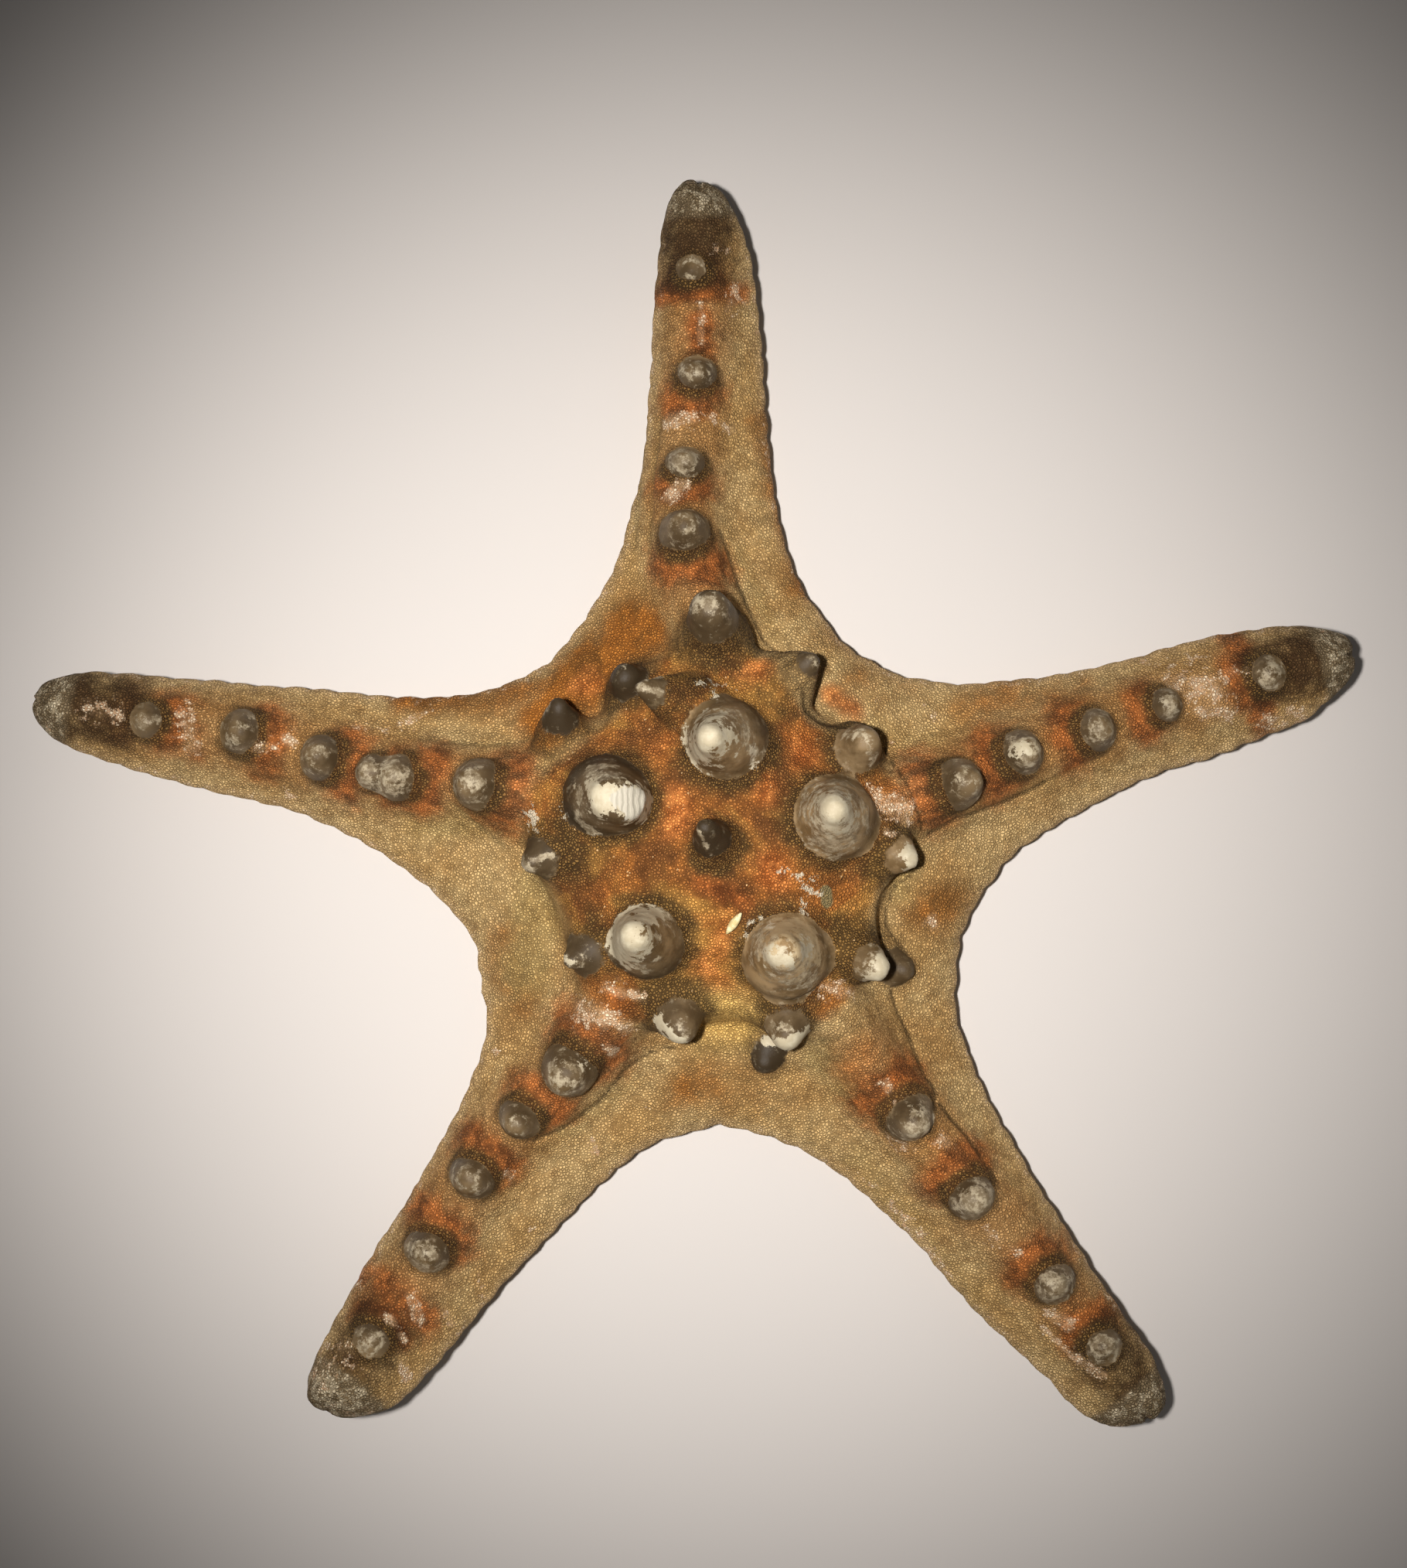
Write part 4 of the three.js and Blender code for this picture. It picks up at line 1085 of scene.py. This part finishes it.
def horn_colour(n, fibre):
    """Knobs: brown horn under a cloudy grey film, cream and white where the tips are worn through."""
    colour = n.two_tone((260, 4, 0.6), 0.38, 0.62, horn_tone(108, 86, 56), horn_tone(156, 130, 94))
    # The dark mask: darker horn, and painted shade on the lower flanks of the disc knobs
    colour = n.mix(n.attribute("dark"), colour, horn_tone(52, 42, 29))
    milk = n.two_tone((900, 5, 0.75), 0.42, 0.6, horn_tone(116, 102, 80), horn_tone(176, 163, 138))
    colour = n.over(colour, n.flecks("film", (560, 6, 0.75), 0.9, 0.75, 1.15), 0.78, milk)
    cream = n.flecks("cream", (400, 6, 0.75), 0.9, 0.8, 1.2)
    colour = n.over(colour, cream, 0.8, horn_tone(170, 150, 117))
    ivory = n.two_tone((700, 4, 0.65), 0.42, 0.64, linear(188, 175, 148), linear(201, 190, 164))
    colour = n.mix(n.flecks("white", (520, 6, 0.72), 0.7, 0.86, 0.93), colour, ivory)
    striped = n.mix(fibre, linear(184, 177, 160), linear(199, 191, 174))
    return n.mix(n.flecks("fibre", (500, 4, 0.6), 0.4, 0.6, 0.7), colour, striped)


def skin_material():
    n = Nodes("dried_skin")
    horn = n.attribute("horn")
    top = granule_tops(n)
    fibre = fibre_pattern(n)
    bare = n.spread("horn", (700, 5, 0.7), 1.4, 0.3, 0.6)
    colour = n.mix(bare, granular(n, skin_zones(n), top), horn_colour(n, fibre))
    colour = n.over(colour, n.flecks("grit", (800, 5, 0.75), 1.0, 1.15, 1.35), 0.8, seen(188, 178, 156))
    # Relief too fine for the mesh: granules on the skin, scratches on the horn, layers of the broken face
    skin_only = n.math("SUBTRACT", 1.0, bare, clamp=True)
    scratches = n.times(n.noise(1500, 5, 0.75), horn)
    normal = n.bump(n.times(top, skin_only), 0.9, GRANULE_RELIEF)
    normal = n.bump(scratches, 0.4, SCRATCH_RELIEF, normal)
    normal = n.bump(n.times(fibre, n.attribute("fibre")), 0.4, SCRATCH_RELIEF, normal)
    roughness = n.ramp(horn, 0.0, 1.0, SKIN_ROUGHNESS, HORN_ROUGHNESS)
    return n.finish(colour, roughness, normal, SKIN_SPECULAR)


def add_attributes(piece, values):
    for name, data in values.items():
        layer = piece.data.attributes.new(name, "FLOAT", "POINT")
        layer.data.foreach_set("value", np.clip(data, 0, 1).astype(np.float32))


def plain_material(name, light, dark, scale):
    """Two tones in fine clouds, with a fine relief."""
    n = Nodes(name)
    cloud = n.noise(scale, 4, 0.65)
    colour = n.mix(n.ramp(cloud, 0.4, 0.62), light, dark)
    return n.finish(colour, 0.7, n.bump(cloud, 0.4, SPINE_RELIEF))


def taper(foot, tip, radius, profile, sides):
    """Points and faces of a closed round spike: profile gives its radius and place along the way."""
    axis = (tip - foot) / np.linalg.norm(tip - foot)
    side = np.cross(axis, [0.0, 0.0, 1.0])
    side /= np.linalg.norm(side)
    other = np.cross(axis, side)
    turn = np.arange(sides) * 2 * math.pi / sides
    circle = np.cos(turn)[:, None] * side + np.sin(turn)[:, None] * other
    points = [foot + (tip - foot) * place + circle * radius * width for place, width in profile]
    points = np.concatenate(points + [[foot], [tip]])
    faces = []
    last = sides * len(profile)
    for k in range(sides):
        after = (k + 1) % sides
        faces.append((last, after, k))
        for ring in range(0, last - sides, sides):
            faces.append((ring + k, ring + after, ring + sides + after, ring + sides + k))
        faces.append((last - sides + k, last - sides + after, last + 1))
    return points, faces


def joined(parts):
    points = []
    faces = []
    count = 0
    for some, these in parts:
        points.append(some)
        faces += [tuple(v + count for v in face) for face in these]
        count += len(some)
    return np.concatenate(points), faces


def groove_spines():
    """Two rows of small blunt spines that lean over each feeding groove."""
    parts = []
    for arm in ARMS:
        for s in np.arange(FIRST_SPINE, arm["length"] - LAST_SPINE, SPINE_PITCH):
            for side in (-1, 1):
                shift = rng.uniform(-SCATTER, SCATTER)
                middle = float(groove_offset(arm, s))
                x0, y0 = arm_point(arm, s + shift, middle + side * SPINE_FOOT[0])
                x1, y1 = arm_point(arm, s + shift * 2, middle + side * SPINE_TIP[0])
                foot = np.array([x0, y0, SPINE_FOOT[1]])
                tip = np.array([x1, y1, SPINE_TIP[1] + rng.uniform(0, SCATTER)])
                parts.append(taper(foot, tip, SPINE_RADIUS, SPINE_PROFILE, SPINE_SIDES))
    points, faces = joined(parts)
    return curl(points) + PLACE, faces


def fleck():
    """The pale chip that has dried onto the disc below the centre cone."""
    profile = [(k / 8, math.sin(math.pi * (k + 0.5) / 9)) for k in range(9)]
    foot, tip = (np.array(end) for end in FLECK_ENDS)
    points, faces = taper(foot, tip, FLECK_RADIUS, profile, FLECK_SIDES)
    return points + PLACE, faces


def add_piece(name, points, faces, material):
    piece = new_mesh_object(name, points, faces, material)
    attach(piece, "root")
    return piece


skin_points, skin_faces, masks = finished_skin()
skin = add_piece("skin", skin_points, skin_faces, skin_material())
add_attributes(skin, masks)
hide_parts("starfish")
spine_material = plain_material("spines", linear(196, 172, 128), linear(150, 116, 72), 700)
add_piece("groove_spines", *groove_spines(), spine_material)
add_piece("fleck", *fleck(), plain_material("fleck", linear(240, 230, 184), linear(206, 186, 130), 900))


# Camera: straight above, a little in front of the middle, looking slightly back
IMAGE_WIDTH = 1820
IMAGE_HEIGHT = 2028
FOCAL_PIXELS = 2017
CAMERA_PLACE = Vector((1.16, -5.67, 230.0)) * MM
CAMERA_TARGET = Vector((1.11, 1.93, 0.0)) * MM
SENSOR_WIDTH = 36
CLIP = (0.01, 10)
KEY_CONE = 76.5
# Lights in metres: name, kind, place, target, size, power and colour
LIGHTS = [
    ("key", "SPOT", (-0.022, -0.004, 0.235), (0.003, -0.002, 0), 0.005, 2.9, (1.0, 0.97, 0.93)),
    ("soft_left", "AREA", (-0.5, -0.25, 0.5), (0, 0, 0), 0.6, 0.16, (1.0, 0.98, 0.95)),
    ("soft_right", "AREA", (0.5, 0.25, 0.5), (0, 0, 0), 0.6, 0.2, (1.0, 0.98, 0.95)),
]
AMBIENT_COLOUR = (1, 0.98, 0.95, 1)
AMBIENT_STRENGTH = 0.03
FLOOR_HALF = 3000
FLOOR_GAP = 0.1


def add_camera():
    data = bpy.data.cameras.new("camera")
    data.sensor_width = SENSOR_WIDTH
    data.lens = FOCAL_PIXELS / max(IMAGE_WIDTH, IMAGE_HEIGHT) * data.sensor_width
    data.clip_start, data.clip_end = CLIP
    camera = bpy.data.objects.new("camera", data)
    back = (CAMERA_PLACE - CAMERA_TARGET).normalized()
    right = Vector((0, 1, 0)).cross(back).normalized()
    up = back.cross(right)
    camera.matrix_world = Matrix.Translation(CAMERA_PLACE) @ Matrix((right, up, back)).transposed().to_4x4()
    link(camera)
    bpy.context.scene.camera = camera


def add_light(name, kind, place, target, size, power, colour):
    data = bpy.data.lights.new(name, kind)
    if kind == "SPOT":
        data.spot_size = math.radians(KEY_CONE)
        data.spot_blend = 1.0
        data.shadow_soft_size = size
    else:
        data.shape = "DISK"
        data.size = size
    data.energy = power
    data.color = colour
    light = bpy.data.objects.new(name, data)
    light.location = place
    light.rotation_euler = (Vector(target) - Vector(place)).to_track_quat("-Z", "Y").to_euler()
    link(light)


def add_floor():
    """The pale floor, a little below the star."""
    corners = np.array([(-1, -1, 0), (1, -1, 0), (1, 1, 0), (-1, 1, 0)]) * FLOOR_HALF
    material = Nodes("floor").finish(linear(218, 212, 208), 0.9)
    floor = new_mesh_object("floor", corners, [(0, 1, 2, 3)], material)
    floor.location.z = -FLOOR_GAP * MM


add_camera()
add_floor()
for row in LIGHTS:
    add_light(*row)
world = bpy.data.worlds.new("world")
world.use_nodes = True
background = world.node_tree.nodes["Background"]
background.inputs["Color"].default_value = AMBIENT_COLOUR
background.inputs["Strength"].default_value = AMBIENT_STRENGTH
bpy.context.scene.world = world
bpy.context.scene.view_settings.view_transform = "Standard"
